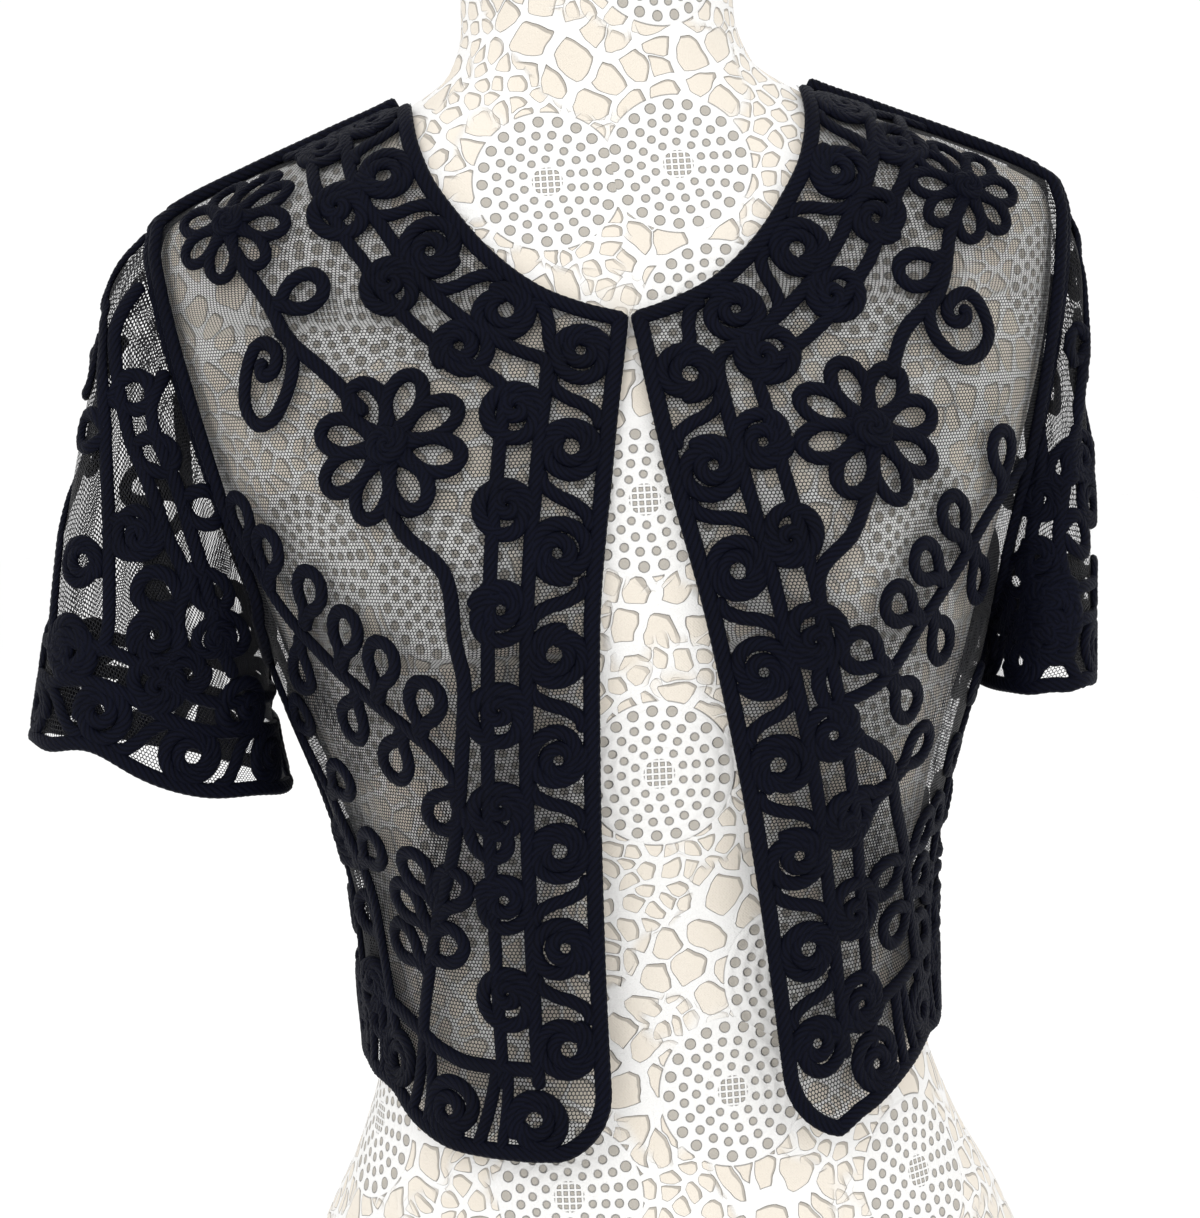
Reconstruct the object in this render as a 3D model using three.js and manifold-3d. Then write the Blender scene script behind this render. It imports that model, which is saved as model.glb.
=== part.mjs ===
import * as THREE from 'three';
import Module from 'manifold-3d';

const wasm = await Module();
wasm.setup();

// Sizes in millimetres. +Z is up, the fronts face -Y, +X is the wearer's left.
// The origin is the middle of the dress form's flat underside.

const CLOTH_WALL = 1.2;
const SEAM_GAP = 0.3;
const SLEEVE_LAP_GAP = 0.8;
const SLEEVE_HEAD_SHRINK = 0.975;
const CORD_WIDTH = 6.4;
const CORD_HEIGHT = 2.2;
const CORD_CLEARANCE = { body: 1.5, left: 2.1, right: 1.7 };
const CORD_STEP = 21;
const LONGEST_EDGE_ON_BODY = 32;
const LONGEST_EDGE_ON_SLEEVE = 24;
const COIL_SIDES = 6;
const COIL_DOME = 0.9;
const COIL_HOLLOW = 0.3;
const LEAF_SIDES = 5;
const LEAF_ROOT = 1.5;
const PETALS = 8;

const DEGREE = Math.PI / 180;
const SIDE_SEAM = 90 * DEGREE;

// Levels of the garment
const UNDERARM = 375;
const SHOULDER_TIP = 552;
const NECK_POINT = 592;
const FRONT_NECK = 502;
const HEM_FRONT = 177;
const HEM_BLEND_TOP = 255;
const BACK_NECK_DROP = 13;
const HEM_CORNER_RADIUS = 27;
const ARMHOLE_HALF_ANGLE = 21 * DEGREE;

// Dress form sections: half width, depth in front of and behind the side line,
// and squareness (2 is an ellipse)
const FORM_SECTIONS = [
  { z: 0, side: 170, front: 100, back: 118, square: 2.2 },
  { z: 70, side: 163, front: 100, back: 116, square: 2.2 },
  { z: 126, side: 144, front: 97, back: 104, square: 2.2 },
  { z: 165, side: 125, front: 92, back: 91, square: 2.2 },
  { z: 200, side: 114, front: 88, back: 83, square: 2.2 },
  { z: 232, side: 111, front: 87, back: 80, square: 2.2 },
  { z: 270, side: 113, front: 90, back: 80, square: 2.2 },
  { z: 310, side: 121, front: 98, back: 84, square: 2.3 },
  { z: 355, side: 136, front: 107, back: 89, square: 2.3 },
  { z: 400, side: 149, front: 112, back: 94, square: 2.4 },
  { z: 440, side: 163, front: 108, back: 98, square: 2.5 },
  { z: 480, side: 175, front: 93, back: 99, square: 2.5 },
  { z: 510, side: 181, front: 79, back: 95, square: 2.5 },
  { z: 534, side: 183, front: 70, back: 87, square: 2.4 },
  { z: 546, side: 180, front: 65, back: 81, square: 2.3 },
  { z: 554, side: 168, front: 62, back: 77, square: 2.3 },
  { z: 566, side: 141, front: 57, back: 70, square: 2.2 },
  { z: 579, side: 109, front: 53, back: 62, square: 2.1 },
  { z: 592, side: 78, front: 50, back: 56, square: 2 },
  { z: 604, side: 62, front: 48, back: 53, square: 2 },
  { z: 622, side: 56, front: 48, back: 52, square: 2 },
  { z: 668, side: 55, front: 50, back: 53, square: 2 },
];

// Room between the form and the middle of the cloth
const EASE = [
  { z: 150, side: 7, front: 14, back: 8 },
  { z: 200, side: 6, front: 14, back: 8 },
  { z: 232, side: 9, front: 14, back: 9 },
  { z: 270, side: 8, front: 13, back: 9 },
  { z: 310, side: 8, front: 9, back: 8 },
  { z: 355, side: 8, front: 6, back: 6 },
  { z: 400, side: 6, front: 4, back: 5 },
  { z: 440, side: 5, front: 3, back: 4 },
  { z: 480, side: 4.4, front: 3, back: 3.4 },
  { z: 534, side: 4, front: 2.8, back: 3 },
  { z: 550, side: 4.2, front: 2.9, back: 3.2 },
  { z: 600, side: 4, front: 2.8, back: 2.8 },
];

const BUST = { x: 76, z: 402, wide: 36, tall: 44, hang: 115, lift: 17 };

// Soft hanging folds of the cloth: where round the body, how wide and deep,
// between which levels
const BODY_FOLDS = [
  { angle: 64, wide: 11, deep: 2.2, low: 150, high: 330 },
  { angle: -61, wide: 12, deep: 2.2, low: 150, high: 340 },
  { angle: 138, wide: 13, deep: 2.4, low: 160, high: 320 },
  { angle: 221, wide: 13, deep: 2.6, low: 160, high: 330 },
];

// Front edges, as distance from the middle of the body
const FRONT_EDGE = {
  left: [
    { z: 150, x: 46 }, { z: 217, x: 42 }, { z: 300, x: 34 },
    { z: 383, x: 21 }, { z: 446, x: 8 }, { z: 500, x: 0.6 },
  ],
  right: [
    { z: 150, x: 24 }, { z: 217, x: 24 }, { z: 300, x: 23 },
    { z: 383, x: 20 }, { z: 446, x: 11 }, { z: 500, x: 0.6 },
  ],
};
const NECKLINE = [
  { z: 502, x: 0.6 }, { z: 506, x: 15 }, { z: 514, x: 33 }, { z: 528, x: 50 },
  { z: 543, x: 62 }, { z: 562, x: 73 }, { z: 578, x: 77 }, { z: 592, x: 78 },
];
const FRONT_HEM = {
  left: [
    { angle: 24, z: 177 }, { angle: 38, z: 185 }, { angle: 52, z: 196 },
    { angle: 65, z: 203 }, { angle: 90, z: 206 },
  ],
  right: [
    { angle: 20, z: 177 }, { angle: 40, z: 180 }, { angle: 52, z: 187 },
    { angle: 65, z: 198 }, { angle: 90, z: 206 },
  ],
};

const FRONT_LEVELS = [
  177, 181, 189, 204, 228, 255, 285, 315, 345, 375, 400, 425, 450, 480,
  502, 506, 514, 524, 534, 546, 554, 566, 579, 586, 592,
];
const BACK_LEVELS = [
  206, 228, 252, 276, 300, 325, 350, 375, 400, 425, 450, 475, 500, 518,
  534, 546, 554, 566, 579, 592,
];
const FORM_LEVELS = [
  0, 70, 126, 165, 200, 235, 275, 315, 350, 375, 400, 425, 450, 480, 510,
  534, 546, 554, 566, 579, 592, 604, 622, 664, 668,
];
const FORM_SIDES = 24;
const FRONT_COLUMNS = 8;
const BACK_COLUMNS = 12;
const SLEEVE_SIDES = 18;

// Each sleeve hangs in its own way: where its cuff lies and how full it is
const SLEEVES = {
  right: { out: 197, back: 2, z: 328, tilt: 15, halfWide: 53, halfDeep: 46 },
  left: { out: 167, back: 8, z: 342, tilt: 3, halfWide: 21.5, halfDeep: 64 },
};
const SLEEVE_FULLNESS = [
  { t: 0, right: 0, left: 0 },
  { t: 0.12, right: 13, left: 7 },
  { t: 0.3, right: 12, left: 6 },
  { t: 0.6, right: 8, left: 5 },
  { t: 1, right: 0, left: 0 },
];
const SLEEVE_ROWS = [0, 0.06, 0.15, 0.28, 0.44, 0.62, 0.81, 1];
const SLEEVE_FOLDS = { count: 4, deep: 1.5 };
const SLEEVE_UNDERARM_ROOM = 3;

// Value of one column of a table between its rows, without overshoot
function tableValue(rows, key, column, at) {
  const last = rows.length - 1;
  if (at <= rows[0][key]) return rows[0][column];
  if (at >= rows[last][key]) return rows[last][column];
  let i = 0;
  while (rows[i + 1][key] < at) i += 1;
  const span = (k) => rows[k + 1][key] - rows[k][key];
  const grade = (k) => (rows[k + 1][column] - rows[k][column]) / span(k);
  const slope = (k) => {
    if (k === 0) return grade(0);
    if (k === last) return grade(last - 1);
    const before = grade(k - 1);
    const after = grade(k);
    return before * after <= 0 ? 0 : (2 * before * after) / (before + after);
  };
  const width = span(i);
  const f = (at - rows[i][key]) / width;
  const rest = 1 - f;
  const low = rows[i][column] * (1 + 2 * f) * rest * rest + slope(i) * width * f * rest * rest;
  const high = rows[i + 1][column] * f * f * (3 - 2 * f) - slope(i + 1) * width * f * f * rest;
  return low + high;
}

function bell(distance, width) {
  return Math.exp(-((distance / width) ** 2));
}

function sectionPoint(side, front, back, square, angle) {
  const s = Math.sin(angle);
  const c = Math.cos(angle);
  const reach = (Math.abs(s) ** square + Math.abs(c) ** square) ** (-1 / square);
  const depth = c > 0 ? front : back;
  return [side * s * reach, -depth * c * reach];
}

function bustLift(x, y, z, fall) {
  if (y > 0) return 0;
  const tall = z < BUST.z ? fall : BUST.tall;
  return BUST.lift * bell(Math.abs(x) - BUST.x, BUST.wide) * bell(z - BUST.z, tall);
}

function foldDepth(angle, z) {
  let sum = 0;
  for (const fold of BODY_FOLDS) {
    const away = Math.atan2(Math.sin(angle - fold.angle * DEGREE), Math.cos(angle - fold.angle * DEGREE));
    const middle = (fold.low + fold.high) / 2;
    const half = (fold.high - fold.low) / 2;
    sum += fold.deep * bell(away, fold.wide * DEGREE) * bell(z - middle, half);
  }
  return sum;
}

function formPoint(angle, z) {
  const at = (column) => tableValue(FORM_SECTIONS, 'z', column, z);
  const [x, y] = sectionPoint(at('side'), at('front'), at('back'), at('square'), angle);
  return new THREE.Vector3(x, y - bustLift(x, y, z, BUST.tall), z);
}

// Middle of the cloth of the body, by angle round it and level.
// Angle 0 faces forward and 90 degrees is the wearer's left side.
function clothPoint(angle, z) {
  const at = (column) => tableValue(FORM_SECTIONS, 'z', column, z);
  const ease = (column) => tableValue(EASE, 'z', column, z);
  const side = at('side') + ease('side');
  const front = at('front') + ease('front');
  const back = at('back') + ease('back');
  const [x, y] = sectionPoint(side, front, back, at('square'), angle);
  const shrink = 1 - foldDepth(angle, z) / Math.hypot(x, y);
  return new THREE.Vector3(x * shrink, y * shrink - bustLift(x, y, z, BUST.hang), z);
}

// Angle at which the front of the cloth is this far from the middle plane
function frontAngle(x, z) {
  let low = 0;
  let high = SIDE_SEAM;
  for (let i = 0; i < 40; i += 1) {
    const middle = (low + high) / 2;
    if (clothPoint(middle, z).x < x) low = middle;
    else high = middle;
  }
  return (low + high) / 2;
}

function armholeAngle(z) {
  const middle = (SHOULDER_TIP + UNDERARM) / 2;
  const half = (SHOULDER_TIP - UNDERARM) / 2;
  const off = (z - middle) / half;
  if (Math.abs(off) >= 1) return SIDE_SEAM;
  return SIDE_SEAM - ARMHOLE_HALF_ANGLE * Math.sqrt(1 - off * off) ** 0.8;
}

// Surfaces: each maps two coordinates to the middle of its cloth, and its
// scale turns them into a flat layout in about the same size
const bodySurface = {
  point: (p, q) => clothPoint(p, q),
  scale: [140, 1],
  turn: 1,
  clearance: CORD_CLEARANCE.body,
};

function armholePoint(side, around) {
  const middle = (SHOULDER_TIP + UNDERARM) / 2;
  const half = ((SHOULDER_TIP - UNDERARM) / 2) * SLEEVE_HEAD_SHRINK;
  const s = Math.sin(around);
  const open = ARMHOLE_HALF_ANGLE * SLEEVE_HEAD_SHRINK;
  const angle = SIDE_SEAM - open * Math.sign(s) * Math.abs(s) ** 0.8;
  const place = frameOn(bodySurface, side * angle, middle + half * Math.cos(around));
  return place.point.addScaledVector(place.normal, CLOTH_WALL + SLEEVE_LAP_GAP);
}

function flattened(value) {
  return value * (1.5 - 0.5 * value * value);
}

function sleeveSurface(name) {
  const side = name === 'left' ? 1 : -1;
  const cuff = SLEEVES[name];
  const point = (around, t) => {
    const start = armholePoint(side, around);
    const c = Math.cos(around);
    const s = Math.sin(around);
    const round = Math.min(cuff.halfWide, cuff.halfDeep);
    const wide = round * c + (cuff.halfWide - round) * flattened(c);
    const deep = round * s + (cuff.halfDeep - round) * flattened(s);
    const end = new THREE.Vector3(
      side * (cuff.out + wide * Math.cos(cuff.tilt * DEGREE)),
      cuff.back - deep,
      cuff.z + wide * Math.sin(cuff.tilt * DEGREE),
    );
    const full = tableValue(SLEEVE_FULLNESS, 't', name, t);
    const swell = 4 * t * (1 - t);
    const outer = (1 + c) / 2;
    const wave = SLEEVE_FOLDS.deep * Math.sin(SLEEVE_FOLDS.count * around + side) * swell * outer;
    const push = full * outer + wave;
    const clear = SLEEVE_UNDERARM_ROOM * swell * (1 - outer);
    return start.lerp(end, t).add(new THREE.Vector3(side * (c * push + clear), -s * push, 0));
  };
  return { point, scale: [55, 190], turn: side, clearance: CORD_CLEARANCE[name] };
}

// Point, outward normal and tangents of a surface
function frameOn(surface, p, q) {
  const [dp, dq] = surface.scale.map((scale) => 0.5 / scale);
  const alongP = surface.point(p + dp, q).sub(surface.point(p - dp, q)).divideScalar(2 * dp);
  const alongQ = surface.point(p, q + dq).sub(surface.point(p, q - dq)).divideScalar(2 * dq);
  const normal = alongP.clone().cross(alongQ).normalize().multiplyScalar(surface.turn);
  const across = alongP.clone().normalize();
  const up = normal.clone().cross(across).normalize();
  return { point: surface.point(p, q), normal, across, up, alongP, alongQ };
}

// Coordinates reached by going so many millimetres across and up a surface
function stepOn(surface, [p, q], [across, up]) {
  const steps = 3;
  let at = [p, q];
  for (let i = 0; i < steps; i += 1) {
    const f = frameOn(surface, at[0], at[1]);
    const move = f.across.clone().multiplyScalar(across / steps).addScaledVector(f.up, up / steps);
    const e = f.alongP.dot(f.alongP);
    const m = f.alongP.dot(f.alongQ);
    const g = f.alongQ.dot(f.alongQ);
    const a = move.dot(f.alongP);
    const b = move.dot(f.alongQ);
    const det = e * g - m * m;
    at = [at[0] + (a * g - b * m) / det, at[1] + (b * e - a * m) / det];
  }
  return at;
}

// Closed meshes
function bodyMesh(name, positions, triangles, material) {
  const geometry = new THREE.BufferGeometry();
  geometry.setAttribute('position', new THREE.Float32BufferAttribute(positions, 3));
  geometry.setIndex(volume(positions, triangles) < 0 ? turnedOver(triangles) : triangles);
  geometry.computeVertexNormals();
  const mesh = new THREE.Mesh(geometry, material);
  mesh.name = name;
  return mesh;
}

function volume(positions, triangles) {
  const corner = (i) => new THREE.Vector3().fromArray(positions, 3 * i);
  let sum = 0;
  for (let i = 0; i < triangles.length; i += 3) {
    const [a, b, c] = [0, 1, 2].map((k) => corner(triangles[i + k]));
    sum += a.dot(b.cross(c));
  }
  return sum / 6;
}

function turnedOver(triangles) {
  const turned = [];
  for (let i = 0; i < triangles.length; i += 3) {
    turned.push(triangles[i], triangles[i + 2], triangles[i + 1]);
  }
  return turned;
}

function quad(triangles, a, b, c, d) {
  triangles.push(a, b, c, a, c, d);
}

// Wall of cloth through rows of surface coordinates, closed into a tube when
// it goes all round
function clothWall(name, surface, rows, round, material) {
  const count = rows[0].length;
  const positions = [];
  for (const level of [-1, 1]) {
    for (const row of rows) {
      for (const [p, q] of row) {
        const f = frameOn(surface, p, q);
        positions.push(...f.point.addScaledVector(f.normal, (level * CLOTH_WALL) / 2).toArray());
      }
    }
  }
  const layer = rows.length * count;
  const at = (side, row, column) => side * layer + row * count + (column % count);
  const triangles = [];
  const cells = round ? count : count - 1;
  for (let r = 0; r + 1 < rows.length; r += 1) {
    for (let c = 0; c < cells; c += 1) {
      quad(triangles, at(1, r, c), at(1, r, c + 1), at(1, r + 1, c + 1), at(1, r + 1, c));
      quad(triangles, at(0, r, c), at(0, r + 1, c), at(0, r + 1, c + 1), at(0, r, c + 1));
    }
  }
  const top = rows.length - 1;
  for (let c = 0; c < cells; c += 1) {
    quad(triangles, at(0, 0, c), at(0, 0, c + 1), at(1, 0, c + 1), at(1, 0, c));
    quad(triangles, at(1, top, c), at(1, top, c + 1), at(0, top, c + 1), at(0, top, c));
  }
  if (!round) {
    for (let r = 0; r < top; r += 1) {
      quad(triangles, at(1, r, 0), at(1, r + 1, 0), at(0, r + 1, 0), at(0, r, 0));
      quad(triangles, at(0, r, cells), at(0, r + 1, cells), at(1, r + 1, cells), at(1, r, cells));
    }
  }
  return bodyMesh(name, positions, triangles, material);
}

function seamAngle(z) {
  return (SEAM_GAP / 2 + 0.02) / clothPoint(SIDE_SEAM, z).x;
}

// Distance of a front's edge from the middle, with the round lower corner
function frontEdge(name, z, hem) {
  if (z >= FRONT_NECK) return tableValue(NECKLINE, 'z', 'x', z);
  const height = z - hem;
  const edge = tableValue(FRONT_EDGE[name], 'z', 'x', z);
  if (height >= HEM_CORNER_RADIUS) return edge;
  const rise = HEM_CORNER_RADIUS - height;
  return edge + HEM_CORNER_RADIUS - Math.sqrt(HEM_CORNER_RADIUS ** 2 - rise ** 2);
}

function frontRows(name) {
  const side = name === 'left' ? 1 : -1;
  return FRONT_LEVELS.map((level) => {
    const inner = frontAngle(frontEdge(name, level, HEM_FRONT), level);
    const outer = armholeAngle(level) - seamAngle(level);
    const row = [];
    for (let c = 0; c <= FRONT_COLUMNS; c += 1) {
      const share = 1 - (1 - c / FRONT_COLUMNS) ** 1.3;
      const angle = inner + (outer - inner) * share;
      const hem = tableValue(FRONT_HEM[name], 'angle', 'z', angle / DEGREE);
      const lift = Math.max(0, (HEM_BLEND_TOP - level) / (HEM_BLEND_TOP - HEM_FRONT));
      row.push([side * angle, level + (hem - HEM_FRONT) * lift]);
    }
    return row;
  });
}

function backRows() {
  return BACK_LEVELS.map((level) => {
    const start = Math.PI - armholeAngle(level) + seamAngle(level);
    const row = [];
    for (let c = 0; c <= BACK_COLUMNS; c += 1) {
      const bend = Math.sin((c / BACK_COLUMNS - 0.5) * 2.6) / Math.sin(1.3);
      const angle = Math.PI + (Math.PI - start) * bend;
      const share = Math.max(0, (level - SHOULDER_TIP) / (NECK_POINT - SHOULDER_TIP));
      row.push([angle, level - BACK_NECK_DROP * share * (1 - bend ** 4)]);
    }
    return row;
  });
}

function sleeveRows() {
  return SLEEVE_ROWS.map((t) => {
    const row = [];
    for (let c = 0; c < SLEEVE_SIDES; c += 1) row.push([(2 * Math.PI * c) / SLEEVE_SIDES, t]);
    return row;
  });
}

function dressForm(material) {
  const positions = [];
  const triangles = [];
  for (const level of FORM_LEVELS) {
    const round = level > 663 ? 1 - (level - 663) / 40 : 1;
    for (let c = 0; c < FORM_SIDES; c += 1) {
      const place = formPoint((2 * Math.PI * c) / FORM_SIDES, level);
      positions.push(place.x * round, place.y * round, level);
    }
  }
  const top = FORM_LEVELS.length - 1;
  const at = (row, column) => row * FORM_SIDES + (column % FORM_SIDES);
  for (let r = 0; r < top; r += 1) {
    for (let c = 0; c < FORM_SIDES; c += 1) {
      quad(triangles, at(r, c), at(r, c + 1), at(r + 1, c + 1), at(r + 1, c));
    }
  }
  for (let c = 1; c + 1 < FORM_SIDES; c += 1) {
    triangles.push(at(0, 0), at(0, c + 1), at(0, c));
    triangles.push(at(top, 0), at(top, c), at(top, c + 1));
  }
  return bodyMesh('dress_form', positions, triangles, material);
}

// Cords are laid out flat in surface coordinates, joined there, and then laid
// on the cloth. A strip has a left and a right point for each of its steps.
function flatPoint(surface, [p, q]) {
  return [p * surface.scale[0], q * surface.scale[1]];
}

function flatStrip(surface, pairs, closed) {
  const positions = [];
  for (const [left, right] of pairs) {
    for (const [point, height] of [[left, 0], [right, 0], [right, CORD_HEIGHT], [left, CORD_HEIGHT]]) {
      positions.push(...flatPoint(surface, point), height);
    }
  }
  const triangles = [];
  const count = pairs.length;
  for (let i = 0; i < (closed ? count : count - 1); i += 1) {
    const here = 4 * i;
    const next = 4 * ((i + 1) % count);
    for (let k = 0; k < 4; k += 1) {
      const other = (k + 1) % 4;
      quad(triangles, here + k, here + other, next + other, next + k);
    }
  }
  if (!closed) {
    const end = 4 * (count - 1);
    triangles.push(0, 2, 1, 0, 3, 2, end, end + 1, end + 2, end, end + 2, end + 3);
  }
  return solidOf(positions, triangles);
}

function solidOf(positions, triangles) {
  const faces = volume(positions, triangles) < 0 ? turnedOver(triangles) : triangles;
  return new wasm.Manifold(new wasm.Mesh({
    numProp: 3,
    vertProperties: new Float32Array(positions),
    triVerts: new Uint32Array(faces),
  }));
}

// Cord through surface coordinates
function cordAlong(surface, places, width = CORD_WIDTH, step = CORD_STEP) {
  const flat = places.map((place) => new THREE.Vector3(...flatPoint(surface, place), 0));
  const curve = new THREE.CatmullRomCurve3(flat, false, 'centripetal');
  const count = Math.max(1, Math.round(curve.getLength() / step));
  const path = curve.getSpacedPoints(count).map((v) => [v.x / surface.scale[0], v.y / surface.scale[1]]);
  const pairs = path.map((place, i) => {
    const before = path[Math.max(0, i - 1)];
    const after = path[Math.min(count, i + 1)];
    const f = frameOn(surface, place[0], place[1]);
    const along = f.alongP.clone().multiplyScalar(after[0] - before[0])
      .addScaledVector(f.alongQ, after[1] - before[1]).normalize();
    const a = along.dot(f.across);
    const b = along.dot(f.up);
    const half = width / 2;
    return [stepOn(surface, place, [-b * half, a * half]), stepOn(surface, place, [b * half, -a * half])];
  });
  return flatStrip(surface, pairs, false);
}

// Loop of cord, long by wide over all, its near end at the place and turned
// by an angle from straight up the cloth
function cordLoop(surface, place, turn, long, wide) {
  const pairs = [];
  for (let i = 0; i < LEAF_SIDES; i += 1) {
    const around = (2 * Math.PI * i) / LEAF_SIDES;
    pairs.push([0, CORD_WIDTH].map((inset) => {
      const x = (wide / 2 - Math.min(inset, wide / 2 - 1.5)) * Math.sin(around);
      const y = long / 2 - LEAF_ROOT - (long / 2 - inset) * Math.cos(around);
      return stepOn(surface, place, turned(x, y, turn));
    }));
  }
  return flatStrip(surface, pairs, true);
}

function turned(x, y, turn) {
  return [x * Math.cos(turn) + y * Math.sin(turn), y * Math.cos(turn) - x * Math.sin(turn)];
}

// Flat plate through a rim, fanned from its centre
function flatPlate(surface, centre, rim, low, high, dome, hollow) {
  const positions = [];
  for (const place of rim) positions.push(...flatPoint(surface, place), low);
  for (const place of rim) positions.push(...flatPoint(surface, place), high);
  positions.push(...flatPoint(surface, centre), low + hollow);
  positions.push(...flatPoint(surface, centre), high + dome);
  const count = rim.length;
  const triangles = [];
  for (let i = 0; i < count; i += 1) {
    const next = (i + 1) % count;
    quad(triangles, i, next, count + next, count + i);
    triangles.push(2 * count, next, i, 2 * count + 1, count + i, count + next);
  }
  return solidOf(positions, triangles);
}

function polarRim(surface, place, corners) {
  return corners.map(([radius, around]) => stepOn(surface, place, turned(0, radius, around)));
}

function coil(surface, place, radius) {
  const corners = [];
  for (let i = 0; i < COIL_SIDES; i += 1) corners.push([radius, (2 * Math.PI * (i + 0.5)) / COIL_SIDES]);
  const rim = polarRim(surface, place, corners);
  return flatPlate(surface, place, rim, 0, CORD_HEIGHT, COIL_DOME, COIL_HOLLOW);
}

// Flower of looped petals, each petal with its opening
const PETAL_OUTLINE = [[0.5, 0], [0.84, 0.16], [1, 0.5], [0.84, 0.84]];
const PETAL_OPENING = [[0.5, 0.5], [0.79, 0.36], [0.79, 0.64]];

function daisy(surface, place, reach) {
  const sector = (2 * Math.PI) / PETALS;
  const corners = [];
  for (let i = 0; i < PETALS; i += 1) {
    for (const [radius, share] of PETAL_OUTLINE) corners.push([radius * reach, (i + share) * sector]);
  }
  let flower = flatPlate(surface, place, polarRim(surface, place, corners), 0, CORD_HEIGHT,
    COIL_DOME, COIL_HOLLOW);
  for (let i = 0; i < PETALS; i += 1) {
    const opening = PETAL_OPENING.map(([radius, share]) => [radius * reach, (i + share) * sector]);
    const middle = stepOn(surface, place, turned(0, 0.65 * reach, (i + 0.5) * sector));
    const rim = polarRim(surface, place, opening);
    flower = flower.subtract(flatPlate(surface, middle, rim, -1, CORD_HEIGHT + 2, 0, 0));
  }
  return flower;
}

// Borders lie to the left of a path of surface coordinates, at these depths
const BORDER = { edge: 3.6, firstCoils: 14.5, middle: 25, secondCoils: 36.5, radius: 12, pitch: 40 };
const HEM_BAND = { coils: 16, rail: 36, radius: 12.5, pitch: 36 };

function besidePath(surface, path, depth) {
  return path.map((place, i) => {
    const before = path[Math.max(0, i - 1)];
    const after = path[Math.min(path.length - 1, i + 1)];
    const f = frameOn(surface, place[0], place[1]);
    const along = f.alongP.clone().multiplyScalar(after[0] - before[0])
      .addScaledVector(f.alongQ, after[1] - before[1]).normalize();
    return stepOn(surface, place, [-along.dot(f.up) * depth, along.dot(f.across) * depth]);
  });
}

function alongPath(surface, path, pitch, offset) {
  const found = [];
  let travelled = 0;
  let wanted = offset;
  for (let i = 0; i + 1 < path.length; i += 1) {
    const start = surface.point(...path[i]);
    const length = start.distanceTo(surface.point(...path[i + 1]));
    while (wanted <= travelled + length) {
      const share = (wanted - travelled) / length;
      found.push(path[i].map((value, k) => value + (path[i + 1][k] - value) * share));
      wanted += pitch;
    }
    travelled += length;
  }
  return found;
}

function edgeCord(surface, path) {
  return cordAlong(surface, besidePath(surface, path, BORDER.edge));
}

function coilBorder(surface, path, start) {
  const parts = [cordAlong(surface, besidePath(surface, path, BORDER.middle))];
  const rows = [[BORDER.firstCoils, start], [BORDER.secondCoils, start + BORDER.pitch / 2]];
  for (const [depth, offset] of rows) {
    const line = besidePath(surface, path, depth);
    for (const place of alongPath(surface, line, BORDER.pitch, offset)) {
      parts.push(coil(surface, place, BORDER.radius));
    }
  }
  return parts;
}

function hemBand(surface, path, start) {
  const rail = besidePath(surface, path, HEM_BAND.rail);
  const edge = besidePath(surface, path, BORDER.edge);
  const parts = [cordAlong(surface, rail)];
  const line = besidePath(surface, path, HEM_BAND.coils);
  for (const place of alongPath(surface, line, HEM_BAND.pitch, start)) {
    parts.push(coil(surface, place, HEM_BAND.radius));
  }
  const feet = alongPath(surface, edge, HEM_BAND.pitch, start + HEM_BAND.pitch / 2);
  const heads = alongPath(surface, rail, HEM_BAND.pitch, start + HEM_BAND.pitch / 2);
  feet.forEach((foot, i) => {
    if (heads[i]) parts.push(cordAlong(surface, [foot, heads[i]]));
  });
  return parts;
}

// Halves long edges so that joined cords follow the curve of the cloth
function shortened(place, flat, triangles, longest) {
  let faces = triangles;
  for (let pass = 0; pass < 6; pass += 1) {
    const middles = new Map();
    const middleOf = (a, b) => {
      const key = a < b ? `${a}_${b}` : `${b}_${a}`;
      if (middles.has(key)) return middles.get(key);
      const length = place(flat[a]).distanceTo(place(flat[b]));
      let found = -1;
      if (length > longest) {
        found = flat.length;
        flat.push(flat[a].map((value, k) => (value + flat[b][k]) / 2));
      }
      middles.set(key, found);
      return found;
    };
    const next = [];
    for (let i = 0; i < faces.length; i += 3) {
      let corners = faces.slice(i, i + 3);
      let cuts = corners.map((corner, k) => middleOf(corner, corners[(k + 1) % 3]));
      const cutCount = cuts.filter((cut) => cut >= 0).length;
      if (cutCount === 3) {
        next.push(corners[0], cuts[0], cuts[2], cuts[0], corners[1], cuts[1]);
        next.push(cuts[2], cuts[1], corners[2], cuts[0], cuts[1], cuts[2]);
      } else if (cutCount === 0) {
        next.push(...corners);
      } else {
        while (cuts[0] < 0 || (cutCount === 2 && cuts[1] < 0)) {
          corners = [corners[1], corners[2], corners[0]];
          cuts = [cuts[1], cuts[2], cuts[0]];
        }
        next.push(corners[0], cuts[0], corners[2]);
        if (cutCount === 1) next.push(cuts[0], corners[1], corners[2]);
        else next.push(cuts[0], cuts[1], corners[2], cuts[0], corners[1], cuts[1]);
      }
    }
    const grown = next.length > faces.length;
    faces = next;
    if (!grown) break;
  }
  return faces;
}

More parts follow.
